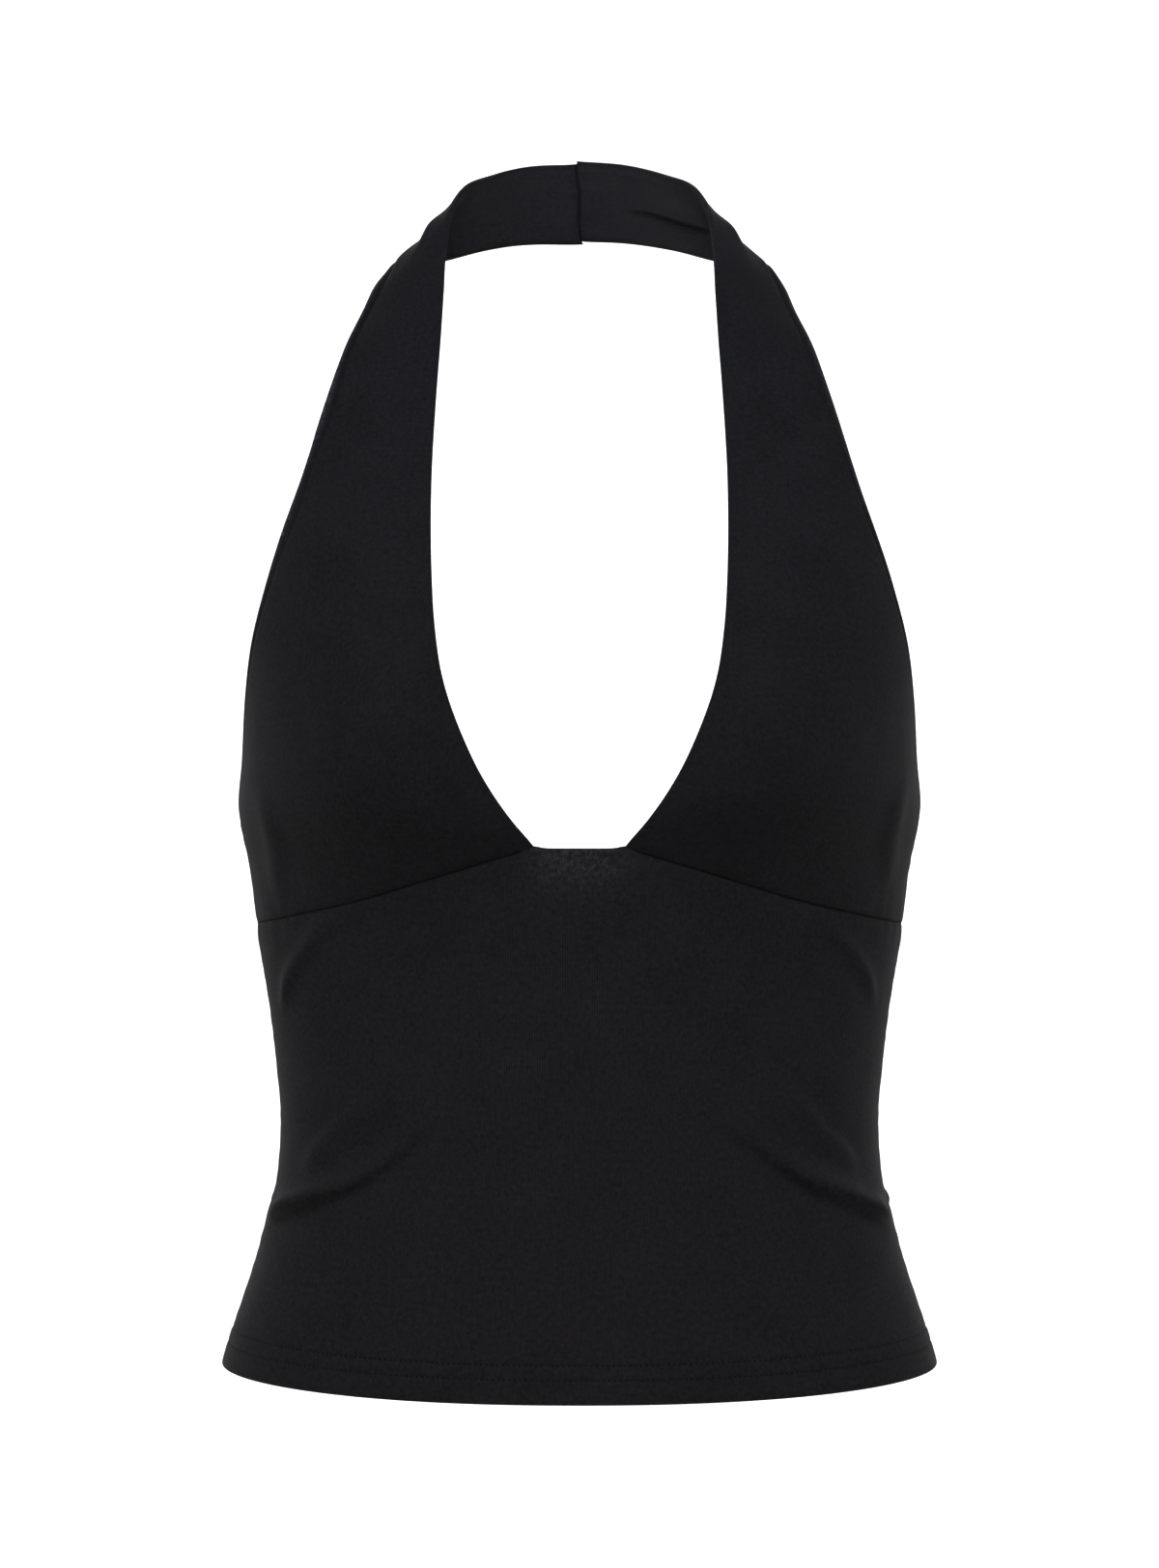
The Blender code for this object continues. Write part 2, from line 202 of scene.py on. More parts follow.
RIGHT_PANEL_FOLDS = (
    # under the arm
    Fold(
        ((0.133, 0.068), (0.1285, 0.0554), (0.1245, 0.0434), (0.125, 0.0335), (0.13, 0.0223),
         (0.1375, 0.009)),
        0.0015, 0.008, 0.0095, 0.45, 0.3,
    ),
    # lengthwise, where the strap turns over beside the neck
    Fold(((0.0136, 0.322), (0.0134, 0.338), (0.013, 0.355)), 0.0014, 0.004, 0.004, 0.5, 0.5),
    Fold(((0.0196, 0.318), (0.0194, 0.334), (0.019, 0.35)), -0.0007, 0.0026, 0.0026, 0.5, 0.5),
    Fold(((0.029, 0.308), (0.0288, 0.324), (0.0282, 0.34)), 0.0014, 0.0046, 0.0046, 0.5, 0.5),
    # behind the neck
    Fold(
        ((0.0188, 0.348), (0.019, 0.357), (0.0192, 0.3653), (0.019, 0.3712), (0.0186, 0.3811),
         (0.0187, 0.3889), (0.0196, 0.3968), (0.0204, 0.404)),
        -0.0034, 0.0017, 0.009, 0.24, 0.6,
    ),
)
LEFT_PANEL_FOLDS = (
    # under the arm
    Fold(
        ((0.126, 0.06), (0.122, 0.0454), (0.12, 0.0355), (0.1215, 0.0264), (0.127, 0.0162),
         (0.135, 0.006)),
        0.0016, 0.008, 0.01, 0.45, 0.3,
    ),
    # lengthwise, where the strap turns over beside the neck
    Fold(((0.0122, 0.322), (0.012, 0.339), (0.0114, 0.356)), 0.0015, 0.0034, 0.0034, 0.5, 0.5),
    Fold(((0.0186, 0.32), (0.0184, 0.335), (0.0182, 0.35)), -0.0011, 0.0032, 0.0032, 0.5, 0.5),
    Fold(((0.0276, 0.312), (0.0274, 0.3285), (0.0266, 0.345)), 0.0011, 0.0046, 0.0046, 0.5, 0.5),
    # behind the neck
    Fold(((0.02, 0.364), (0.021, 0.376), (0.0232, 0.39)), -0.0004, 0.0024, 0.005),
)

# How strongly the armhole edge's turned seam rolls to the outside, and how far
# in its groove lies, by the distance up the panel.
Roll = namedtuple("Roll", "along strength reach")
LEFT_ROLL = table(
    Roll,
    (0.060, 0.1, 0.0040), (0.120, 0.2, 0.0050), (0.150, 0.4, 0.0055), (0.173, 1.1, 0.0064),
    (0.185, 1.0, 0.0058), (0.197, 0.7, 0.0046), (0.210, 0.6, 0.0050), (0.223, 1.0, 0.0057),
    (0.236, 1.0, 0.0057), (0.249, 1.1, 0.0044), (0.262, 0.9, 0.0038), (0.277, 1.1, 0.0040),
    (0.294, 1.4, 0.0041), (0.308, 1.2, 0.0060), (0.320, 0.7, 0.0062), (0.335, 0.3, 0.0050),
    (0.350, 0.0, 0.0040), (0.430, 0.0, 0.0040),
)
RIGHT_ROLL = table(
    Roll,
    (0.060, 0.1, 0.0040), (0.150, 0.2, 0.0040), (0.200, 0.4, 0.0042), (0.236, 0.5, 0.0044),
    (0.262, 0.6, 0.0047), (0.294, 0.8, 0.0045), (0.308, 1.0, 0.0050), (0.322, 0.6, 0.0052),
    (0.335, 0.2, 0.0045), (0.350, 0.0, 0.0040), (0.430, 0.0, 0.0040),
)
ROLL_HEIGHT = 0.0008
ROLL_FOOT = 0.95  # the roll ends at this share of its reach
ROLL_SLOPE = 0.35  # and comes down to there over this share
ROLL_GROOVE = 0.0013
ROLL_GROOVE_SPREAD = 0.0007
ROLL_START = 0.052
ROLL_START_RUN = 0.020
ROLL_WIDTH = 0.0022  # the outside face turns down to the armhole edge over this run
ROLL_DEPTH = 0.6 * BUST_WALL  # and meets the lining this far under the face
ROLL_SPREAD = 0.0009  # and the edge stands this far out, fading over ROLL_FADE
ROLL_FADE = 0.012

# Stretches up the panel: a start, the run over which it comes in, an end, and the run before it.
ROLLED = (0.070, 0.030, 0.350, 0.040)
# the stretch of the armhole edge that carries its painted highlight
HIGHLIGHTED_STRETCH = (0.060, 0.060, 0.345, 0.030)
ROLL_HIGHLIGHT = 1.9  # painted highlight: how much lighter the rolled edge is coloured
HIGHLIGHT_LEAST = 0.35  # share of it where the edge is hardly rolled
HIGHLIGHT_FOOT = 0.80
HIGHLIGHT_SLOPE = 0.45

# The seam behind the neck isn't quite straight.
NeckSeam = namedtuple("NeckSeam", "height x")
NECK_SEAM = table(
    NeckSeam,
    (-0.0195, 0.0018), (-0.0165, 0.0009), (-0.0132, 0.0000), (-0.0077, -0.0004), (0.0036, -0.0001),
    (0.0102, -0.0011), (0.0158, -0.0017), (0.0195, -0.0008),
)
NECK_SEAM_FADE = 0.010  # the panels lean to follow it, less and less over this length of strap
NECK_SEAM_DEPTH = BUST_WALL / 4
NECK_SEAM_RUN = 0.0005
NECK_SEAM_PUCKER = 0.8
WOBBLE = 0.00013  # the stitches pull its line to and fro by this much
WOBBLE_LENGTH = 0.00034

# The cloth below the neckline's straight edge is faded.
FADED_HALF_WIDTH = 0.020
FADED_DEPTH = 0.016
FADED_END = 0.060
FADED_RUN = 0.050

# Painted shade: the wear mask taken below 0 colours the cloth darker where it turns into a seam, where
# shade falls in the groove.
NECK_SEAM_PAINTED_SHADE = 1.1
SEAM_PAINTED_SHADE = 0.6
PAINTED_SHADE_REACH = 0.0006

# ---- Edges, seams and stitches ----

SEAM_DEPTH = 0.0009  # sewn edges meet this far under the face
SEAM_ROLL = 0.0013  # and turn down over this run
SEAM_TURN = 0.0060  # within this reach both sheets of a seam turn in the same way
CORNER_RUN = 0.0080  # an underbust seam closes smoothly over this run from the neckline
EDGE_PAST = 0.7  # degrees past the neckline's corner to which its turned edge goes on
EDGE_FADE = 0.8  # and over which it gives way to the sewn one
SEAM_DIP = 0.00040
SEAM_DIP_REACH = 0.0026
PUCKER = 0.00016
PUCKER_REACH = 0.0060
PUCKER_START = 0.0012
SOFT_HEIGHT = 0.00013  # the faint unevenness of worn cloth
SOFT_SLANT = 0.8
BODY_CALM = 0.030  # which dies away over this run from the edges of a body panel
PANEL_CALM = 0.020  # and over this one from those of a bust panel

# A wave has a share of the height and a length. It is swayed by a second wave of another length.
Wave = namedtuple("Wave", "share length sway sway_length")
SOFT_WAVES = (Wave(1.0, 0.021, 1.3, 0.033), Wave(0.8, 0.017, 1.7, 0.041), Wave(0.6, 0.0115, 2.1, 0.027))
PUCKER_WAVES = (Wave(1.0, 0.00135, 1.6, 0.0049), Wave(0.7, 0.00223, 1.9, 0.0071))
CURL_WAVE = Wave(1.0, 0.0085, 1.5, 0.021)

# Where the waves of each piece and each seam start, so that no two look alike.
FRONT_START = 0.7
BACK_START = 3.9
RIGHT_PANEL_START = 1.3
LEFT_PANEL_START = 4.4
UNDERBUST_START = 2.1
SIDE_SEAM_START = 0.4
NECK_SEAM_START = 5.0

# The bead of a turned edge and the groove behind it.
Ripple = namedtuple("Ripple", "height distance spread")
FRONT_RIPPLES = (Ripple(0.00018, 0.0016, 0.0013), Ripple(-0.00016, 0.0040, 0.0008))
NECKLINE_RIPPLES = (Ripple(0.00020, 0.0018, 0.0014), Ripple(-0.00012, 0.0045, 0.0010))
NECKLINE_RIPPLES_RUN = 0.012

BACK_TURN = 0.0125
BACK_STEP = 0.0015
HEM_FULLNESS = 0.00012  # the doubled hem stands out by this much
HEM_EDGE_RUN = 0.003
NEEDLE_ROWS = (0.0102, 0.0164)  # above the hem edge
BACK_ROWS_BELOW = (0.0030, 0.0092)  # below the back edge
NEEDLE_DIP = 0.00026
NEEDLE_DIP_REACH = 0.0008
ROW_FULLNESS = 0.00010  # and the cloth between two rows stands out by this much
ROW_FULLNESS_SPREAD = 0.0022
STITCH = 0.0023
STITCH_SEEN = 0.86  # share of a stitch that its thread shows
STITCH_BEND = 0.22  # the thread bends at this share of a stitch to each side of its middle
STITCH_TIP = 0.10  # and a crossing one turns back at this share
STITCH_SINK = 0.15  # shares of the thread's radius that its middle lies low
STITCH_END_SINK = 1.8  # and that its ends go down further
SHADE_DISC_LIFT = 0.00005
THREAD = 0.00019  # radius of the sewing thread
THREAD_LIFT = 0.5 * THREAD  # the middle of an inside thread stands this far off the cloth
WRAP_INSIDE = 0.5 * THREAD  # an overlocking thread turns down this far inside the free edge
WRAP_OUT = 1.5 * THREAD  # and its tip stands this far out from there
SHADE_DISC_RADIUS = 0.00042  # radius of a flat disc coloured dark where the needle went in: painted shade of the hole
ALLOWANCE = 0.0070  # width of an overlocked seam allowance
ALLOWANCE_WALL = 0.0013
ALLOWANCE_FROM_SEAM = 0.0005
ALLOWANCE_GAP = 0.00006  # between an allowance and the cloth that it lies on
ALLOWANCE_CURL = 0.0007  # its free edge stands off the cloth by up to this
OVERLOCK_WIDTH = 0.0048  # from the needle thread to the free edge
BESIDE_SEAM = 20  # lines of the cloth's grid that an allowance is read from
ALLOWANCE_PAST = 0.8  # degrees past the neckline's corner where an underbust allowance starts
ALLOWANCE_CLEAR = 0.0014  # allowances stay this far from the next seam or edge
ALLOWANCE_ABOVE_HEM = 0.0006

# ---- Fineness ----

EDGE_STEPS = np.array([0, 0.10, 0.25, 0.45, 0.70, 1.00, 1.35, 1.8, 2.4, 3.2, 4.2]) / 1000
ALLOWANCE_STEPS = EDGE_STEPS[:5]
HEM_STEPS = np.concatenate([EDGE_STEPS, np.arange(5.2, 24.0, 0.4) / 1000])
ARM_STEPS = np.concatenate([EDGE_STEPS[:8], np.arange(2.2, 6.0, 0.35) / 1000, [0.0065, 0.0072, 0.0081]])
PITCH = 0.0019
HEM_LINES = 10  # even lines that the hem's own ones take the place of
PANEL_COLUMNS = 62
ALLOWANCE_ROWS = 8
WAIST_POINTS = 4001
SECTION_POINTS = 400
SECTION_STEPS = 120
FOLD_POINTS = 33


# ---- Curves ----

def through(knots, values, at):
    """A smooth curve through the values at rising knots, read at each place in at."""
    knots = np.asarray(knots, float)
    values = np.asarray(values, float)
    at = np.asarray(at, float)
    slopes = np.gradient(values, knots, axis=0)
    span = np.clip(np.searchsorted(knots, at) - 1, 0, len(knots) - 2)
    width = knots[span + 1] - knots[span]
    share = (at - knots[span]) / width
    while share.ndim < values[span].ndim:
        share = share[..., None]
        width = width[..., None]
    away = 1 - share
    return (
        away * away * (1 + 2 * share) * values[span]
        + share * away * away * width * slopes[span]
        + share * share * (3 - 2 * share) * values[span + 1]
        - share * share * away * width * slopes[span + 1]
    )


def ease(share):
    """0 to 1 with no corner at either end."""
    share = np.clip(share, 0.0, 1.0)
    return share * share * (3 - 2 * share)


def between(at, start, run_in, end, run_out):
    """1 inside a stretch and 0 outside it, easing over a run at each end."""
    return ease((at - start) / run_in) * ease((end - at) / run_out)


def bell(distance, spread):
    """1 at no distance, dying away smoothly past the spread."""
    return np.exp(-((distance / spread) ** 2))


def lengths_along(points):
    """Running length of each polyline along the last but one axis of points."""
    steps = np.linalg.norm(np.diff(points, axis=-2), axis=-1)
    start = np.zeros(steps.shape[:-1] + (1,))
    return np.concatenate([start, np.cumsum(steps, axis=-1)], axis=-1)


def read_along(values, run, at):
    """Values set at running lengths of a line, read at other lengths along it."""
    return np.stack([np.interp(at, run, column) for column in values.T], axis=-1)


def evenly_along(points, count):
    """Shares of a polyline, from 0 to 1, that cut it into even lengths."""
    along = lengths_along(points)
    return np.interp(np.linspace(0, along[-1], count + 1), along, np.linspace(0, 1, len(points)))


def lines_between(low, high, low_steps, high_steps, count):
    """Places from low to high: at set distances from each end, and evenly spaced between them."""
    start, end = low + low_steps[-1], high - high_steps[-1]
    lines = [low + step for step in low_steps]
    lines += [start + (end - start) * share for share in np.linspace(0, 1, count + 1)[1:-1]]
    lines += [high - step for step in high_steps[::-1]]
    return np.array(lines)


# ---- The torso ----

def cup_forward(x, z):
    side = (np.abs(x) - CUP_X) / CUP_SPREAD
    rise = (z - CUP_HEIGHT) / np.where(z > CUP_HEIGHT, CUP_RISE, CUP_DROP)
    return CUP_FORWARD * np.exp(-0.5 * side * side - 0.5 * rise * rise)


def with_cups(points):
    x, y, z = np.moveaxis(points, -1, 0)
    in_front = ease((SIDE_LINE_Y - y) / CUP_FADE)
    return np.stack([x, y - cup_forward(x, z) * in_front, z], axis=-1)


def torso(angle, height):
    """Points of a torso ring, by the angle in degrees from the centre front towards +X."""
    angle, height = np.broadcast_arrays(np.radians(angle), height)
    rings = through([ring.height for ring in TORSO], [ring[1:] for ring in TORSO], height)
    half_width, front_depth, back_depth = np.moveaxis(rings, -1, 0)
    sine, cosine = np.sin(angle), np.cos(angle)
    power = 2 / RING_EXPONENT
    depth = np.where(cosine > 0, front_depth, back_depth)
    x = half_width * np.sign(sine) * np.abs(sine) ** power
    y = SIDE_LINE_Y - depth * np.sign(cosine) * np.abs(cosine) ** power
    return np.stack([x, y, height], axis=-1)


def underbust_height(angle):
    seam = np.array(UNDERBUST)
    corner = CORNER_RISE * bell(np.abs(angle) - EDGE_ANGLE, CORNER_SPREAD)
    return through(seam[:, 0], seam[:, 1], np.clip(np.abs(angle), EDGE_ANGLE, 90)) + corner


def hem_height(angle):
    turn = np.cos(np.radians(angle))
    middle = np.where(turn > 0, HEM_FRONT, HEM_BACK)
    return HEM_SIDE + (middle - HEM_SIDE) * np.abs(turn) ** HEM_DIP_POWER


def back_edge_height(angle):
    dip = np.abs(np.cos(np.radians(angle))) ** BACK_EDGE_POWER
    return UNDERARM + (BACK_EDGE_CENTRE - UNDERARM) * dip


def side_lap_angle():
    """The lap at a side seam, as an angle on the waist's ring."""
    return math.degrees((SEAM_LAP / WAIST.front_depth) ** (RING_EXPONENT / 2))


def unit(vectors):
    return vectors / np.linalg.norm(vectors, axis=-1, keepdims=True)


def outward(grid):
    """Unit normals of a grid whose rows rise and whose columns turn from the front towards +X."""
    return unit(np.cross(np.gradient(grid, axis=1), np.gradient(grid, axis=0)))


def across_seam(seam):
    """Level directions square to a seam that runs round the torso: both its sheets turn in along them."""
    run = np.gradient(seam, axis=0)
    return unit(np.stack([run[:, 1], -run[:, 0], np.zeros(len(run))], axis=-1))


def turned(normals, directions, from_seam):
    """Normals turned to the given directions close to a seam."""
    near = ease(1 - from_seam / SEAM_TURN)[..., None]
    return unit(normals * (1 - near) + directions * near)


def squared(normals, axis, from_seam):
    """Normals with less and less of the axis left, the closer they are to a seam."""
    near = ease(1 - from_seam / SEAM_TURN)
    normals = normals.copy()
    normals[..., axis] *= 1 - near
    return unit(normals)


# ---- Relief of the cloth's face ----

def fold_relief(fold, across, up):
    """Lift of one fold at places given by two lengths on the cloth."""
    places = np.array(fold.places, float)
    fine = through(np.arange(len(places)), places, np.linspace(0, len(places) - 1, FOLD_POINTS))
    run = lengths_along(fine)
    near = np.full(across.shape, np.inf)
    share = np.zeros(across.shape)
    to_left = np.zeros(across.shape)
    for k in range(len(fine) - 1):
        a, b = fine[k], fine[k + 1]
        length = run[k + 1] - run[k]
        t = ((across - a[0]) * (b[0] - a[0]) + (up - a[1]) * (b[1] - a[1])) / length**2
        t = np.clip(t, 0, 1)
        dx = across - a[0] - t * (b[0] - a[0])
        dy = up - a[1] - t * (b[1] - a[1])
        away = np.hypot(dx, dy)
        closer = away < near
        near = np.where(closer, away, near)
        share = np.where(closer, (run[k] + t * length) / run[-1], share)
        to_left = np.where(closer, (b[0] - a[0]) * dy - (b[1] - a[1]) * dx, to_left)
    ends = ease(share / fold.first) * ease((1 - share) / fold.last)
    spread = np.where(to_left > 0, fold.over, fold.under)
    return fold.height * ends * bell(near, spread)


def body_folds_relief(angle, height):
    relief = np.zeros(np.broadcast(angle, height).shape)
    for fold in BODY_FOLDS:
        middle = fold.places[len(fold.places) // 2][0]
        from_middle = (angle - middle + 180) % 360 - 180
        lengths = [(math.radians(place - middle) * ARC_RADIUS, rise) for place, rise in fold.places]
        relief += fold_relief(fold._replace(places=lengths), np.radians(from_middle) * ARC_RADIUS, height)
    return relief


def roll_at(rolls, along):
    """The strength and the reach of a rolled edge at places along it."""
    knots, strengths, reaches = np.array(rolls).T
    return np.interp(along, knots, strengths), np.interp(along, knots, reaches)


def roll_relief(rolls, along, from_edge):
    """The turned seam of an armhole edge, rolled to the outside, and the groove behind it."""
    strength, reach = roll_at(rolls, along)
    bead = ROLL_HEIGHT * ease((ROLL_FOOT * reach - from_edge) / (ROLL_SLOPE * reach))
    groove = ROLL_GROOVE * bell(from_edge - reach, ROLL_GROOVE_SPREAD)
    return strength * (bead - groove) * ease((along - ROLL_START) / ROLL_START_RUN)


def roll_painted_highlight(rolls, along, from_edge):
    """How far the rolled armhole edge is coloured lighter: a painted highlight where light catches the
    roll.
    """
    strength, reach = roll_at(rolls, along)
    highlight = ease((HIGHLIGHT_FOOT * reach - from_edge) / (HIGHLIGHT_SLOPE * reach))
    highlight *= HIGHLIGHT_LEAST + (1 - HIGHLIGHT_LEAST) * np.clip(strength, 0, 1)
    return ROLL_HIGHLIGHT * highlight * between(along, *HIGHLIGHTED_STRETCH)


def ripples(parts, from_edge):
    return sum(part.height * bell(from_edge - part.distance, part.spread) for part in parts)


def swayed(wave, at, beside, start):
    """A wave that runs along one length and is swayed along another, or along the same."""
    return wave.share * np.sin(at / wave.length + wave.sway * np.sin(beside / wave.sway_length + start))


def pucker(along, from_seam, start):
    """The small uneven gathers that stitches pull along a seam."""
    first, second = PUCKER_WAVES
    waves = swayed(first, along, along, start) + swayed(second, along, along, 2 * start)
    return PUCKER * waves * np.exp(-from_seam / PUCKER_REACH) * ease(from_seam / PUCKER_START)


def seam_dip(from_seam):
    return -SEAM_DIP * bell(from_seam, SEAM_DIP_REACH)


def soft_waves(across, up, start):
    """The faint unevenness of cloth after long wear."""
    level, rising, slanting = SOFT_WAVES
    waves = swayed(level, across + start * level.length, up, start)
    waves += swayed(rising, up, across, -start)
    waves += swayed(slanting, across + SOFT_SLANT * up, up, 2 * start)
    return SOFT_HEIGHT * waves


def needle_relief(from_edge, rows):
    """The dips along coverstitched rows, and the fullness between them."""
    relief = ROW_FULLNESS * bell(from_edge - sum(rows) / 2, ROW_FULLNESS_SPREAD)
    for row in rows:
        relief = relief - NEEDLE_DIP * bell(from_edge - row, NEEDLE_DIP_REACH)
    return relief


# ---- Sheets ----

Edge = namedtuple("Edge", "distance depth run")


def closing_offsets(edges, wall):
    """How far the two faces of a sheet draw together near its edges, from outside and from inside."""
    closing = []
    for edge in edges:
        within = np.clip(edge.distance / edge.run, 0, 1)
        closing.append(1 - np.sqrt(1 - (1 - within) ** 2))
    closing = np.array(closing)
    depths = [np.broadcast_to(edge.depth, wall.shape) for edge in edges]
    depth = np.choose(closing.argmax(axis=0), depths)
    amount = closing.max(axis=0)
    return amount * depth, amount * (wall - depth)


def put_in_scene(name, data):
    """A new object that holds the data."""
    new = bpy.data.objects.new(name, data)
    bpy.context.scene.collection.objects.link(new)
    return new


def closed_sheet(name, outer, inner, cloth, wear_and_painted_light):
    """A sheet whose two faces share their border points, with its cloth lengths as UVs."""
    rows, columns = outer.shape[:2]
    front = np.arange(rows * columns).reshape(rows, columns)
    behind = front.copy()
    inside = np.arange((rows - 2) * (columns - 2)).reshape(rows - 2, columns - 2)
    behind[1:-1, 1:-1] = rows * columns + inside
    points = np.concatenate([outer.reshape(-1, 3), inner[1:-1, 1:-1].reshape(-1, 3)])
    out = np.stack([front[:-1, :-1], front[:-1, 1:], front[1:, 1:], front[1:, :-1]], axis=-1)
    back = np.stack([behind[:-1, :-1], behind[1:, :-1], behind[1:, 1:], behind[:-1, 1:]], axis=-1)
    quads = np.concatenate([out.reshape(-1, 4), back.reshape(-1, 4)])

    mesh = bpy.data.meshes.new(name)
    mesh.from_pydata(points.tolist(), [], quads.tolist())

    def on_points(values):
        within = values[1:-1, 1:-1].reshape(inside.size, -1)
        return np.concatenate([values.reshape(front.size, -1), within])

    uv = mesh.uv_layers.new(name="cloth")
    uv.data.foreach_set("uv", on_points(cloth)[quads.ravel()].ravel())
    mask = mesh.attributes.new("wear_and_painted_light", "FLOAT", "POINT")
    mask.data.foreach_set("value", on_points(wear_and_painted_light[..., None]).ravel())
    mesh.shade_smooth()
    return put_in_scene(name, mesh)


def make_sheet(name, outer, normals, wall, edges, cloth, wear_and_painted_light):
    """A sheet of the wall's thickness behind its outer points, and the points of its lining."""
    from_outside, from_inside = closing_offsets(edges, wall)
    face = outer - from_outside[..., None] * normals
    lining = outer - (wall - from_inside)[..., None] * normals
    return closed_sheet(name, face, lining, cloth, wear_and_painted_light), lining


# ---- The body ----

BodyPanel = namedtuple(
    "BodyPanel",
    "angle cloth from_sides above_hem below_top base normals relief face lining sheet",
    defaults=(None, None, None),
)


def waist_lengths(start, end):
    """Close angles on the waist's ring, and the length of cloth up to each of them."""
    angles = np.linspace(start, end, WAIST_POINTS)
    return angles, lengths_along(torso(angles, WAIST.height))


def fine_angles(start, end):
    """Column angles of a body panel, close together at its side seams."""
    angles, lengths = waist_lengths(start, end)
    count = round(lengths[-1] / PITCH)
    return np.interp(lines_between(0.0, lengths[-1], EDGE_STEPS, EDGE_STEPS, count), lengths, angles)


def hem_wall(above_hem):
    single = ease((above_hem - HEM_TURN + HEM_STEP) / HEM_STEP)
    return HEM_WALL + (BODY_WALL - HEM_WALL) * single


def body_face(angles, top, start):
    """The form of a body panel, with no sheet yet."""
    count = round(float(np.max(top - hem_height(angles))) / PITCH)
    heights = lines_between(hem_height(angles), top, HEM_STEPS, EDGE_STEPS, count - HEM_LINES)
    angle = np.broadcast_to(angles, heights.shape)
    base = with_cups(torso(angle, heights))
    lengths = np.interp(angles, *waist_lengths(angles[0], angles[-1]))
    from_sides = np.broadcast_to(np.minimum(lengths, lengths[-1] - lengths), heights.shape)
    above_hem = heights - hem_height(angles)
    below_top = top - heights
    across = np.broadcast_to(lengths - lengths[-1] / 2, heights.shape)
    normals = squared(outward(base), 1, from_sides)
    relief = body_folds_relief(angle, heights)
    calm = ease(above_hem / BODY_CALM) * ease(below_top / BODY_CALM) * ease(from_sides / BODY_CALM)
    relief += soft_waves(across, heights, start) * calm
    relief += pucker(heights, from_sides, start) + seam_dip(from_sides)
    relief += needle_relief(above_hem, NEEDLE_ROWS)
    doubled = ease((HEM_TURN + HEM_STEP / 2 - above_hem) / HEM_STEP)
    relief += HEM_FULLNESS * doubled * ease(above_hem / HEM_EDGE_RUN)
    cloth = np.stack([across * CLOTH_TO_WAIST, heights], axis=-1)
    return BodyPanel(angle, cloth, from_sides, above_hem, below_top, base, normals, relief)


def with_sheet(name, part, wall, top_edge, wear_and_painted_light):
    """A body panel given its sheet, and the points of its face and its lining."""
    face = part.base + part.relief[..., None] * part.normals
    hem_edge = Edge(part.above_hem, wall / 2, HEM_WALL / 2)
    edges = (hem_edge, Edge(part.from_sides, SEAM_DEPTH, SEAM_ROLL), top_edge)
    sheet, lining = make_sheet(name, face, part.normals, wall, edges, part.cloth, wear_and_painted_light)
    return part._replace(sheet=sheet, face=face, lining=lining)


def make_front():
    reach = 90 + side_lap_angle()
    angles = fine_angles(-reach, reach)
    for side in (-EDGE_ANGLE, EDGE_ANGLE):
        angles[np.abs(angles - side).argmin()] = side
    top = underbust_height(angles) + SEAM_LAP
    part = body_face(angles, top, FRONT_START)
    across, below_top = part.cloth[..., 0], part.below_top
    on_edge = ease((EDGE_ANGLE + EDGE_PAST - np.abs(part.angle)) / EDGE_FADE)
    from_underbust = below_top + on_edge
    corner = np.interp(EDGE_ANGLE, angles, across[0])
    sewn = ease((np.abs(across) - corner) / CORNER_RUN)
    relief = part.relief + sewn * (pucker(across, below_top, UNDERBUST_START) + seam_dip(from_underbust))
    relief += on_edge * ripples(FRONT_RIPPLES, below_top)
    seam = with_cups(torso(angles, top))
    normals = turned(part.normals, across_seam(seam), from_underbust)
    wall = hem_wall(part.above_hem)
    top_depth = SEAM_DEPTH * sewn + wall / 2 * on_edge
    top_run = SEAM_ROLL + (BODY_WALL / 2 - SEAM_ROLL) * on_edge
    wear_and_painted_light = bell(across**2, FADED_HALF_WIDTH**2) * bell(below_top, FADED_DEPTH)
    wear_and_painted_light *= ease((FADED_END - below_top) / FADED_RUN)
    # painted shade along the underbust seam
    wear_and_painted_light -= SEAM_PAINTED_SHADE * sewn * bell(below_top, PAINTED_SHADE_REACH)
    part = part._replace(relief=relief, normals=normals)
    return with_sheet("front_cloth", part, wall, Edge(below_top, top_depth, top_run), wear_and_painted_light)


def make_back():
    start = 90 - side_lap_angle()
    angles = fine_angles(start, 360 - start)
    part = body_face(angles, back_edge_height(angles), BACK_START)
    part = part._replace(relief=part.relief + needle_relief(part.below_top, BACK_ROWS_BELOW))
    turned_back = ease((BACK_TURN - part.below_top) / BACK_STEP)
    wall = np.minimum(hem_wall(part.above_hem) + (HEM_WALL - BODY_WALL) * turned_back, HEM_WALL)
    top_edge = Edge(part.below_top, wall / 2, HEM_WALL / 2)
    return with_sheet("back_cloth", part, wall, top_edge, np.zeros(wall.shape))


# ---- Bust panels and straps ----

def section_points(section, travel, shares):
    """Points at shares of a section. The strap runs along travel, which gives its outer side."""
    neck = np.array(section[0:3])
    arm = np.array(section[3:6])
    line = arm - neck
    length = np.linalg.norm(line)
    out = unit(np.cross(line, travel))
    reach = SECTION_REACH * length
    leave = math.radians(section.neck_turn)
    arrive = math.radians(section.arm_turn)
    first = neck + reach * (math.cos(leave) * line / length + math.sin(leave) * out)
    second = arm - reach * (math.cos(arrive) * line / length - math.sin(arrive) * out)
    t = shares[:, None]
    return (
        (1 - t) ** 3 * neck
        + 3 * t * (1 - t) ** 2 * first
        + 3 * t * t * (1 - t) * second
        + t**3 * arm
    )


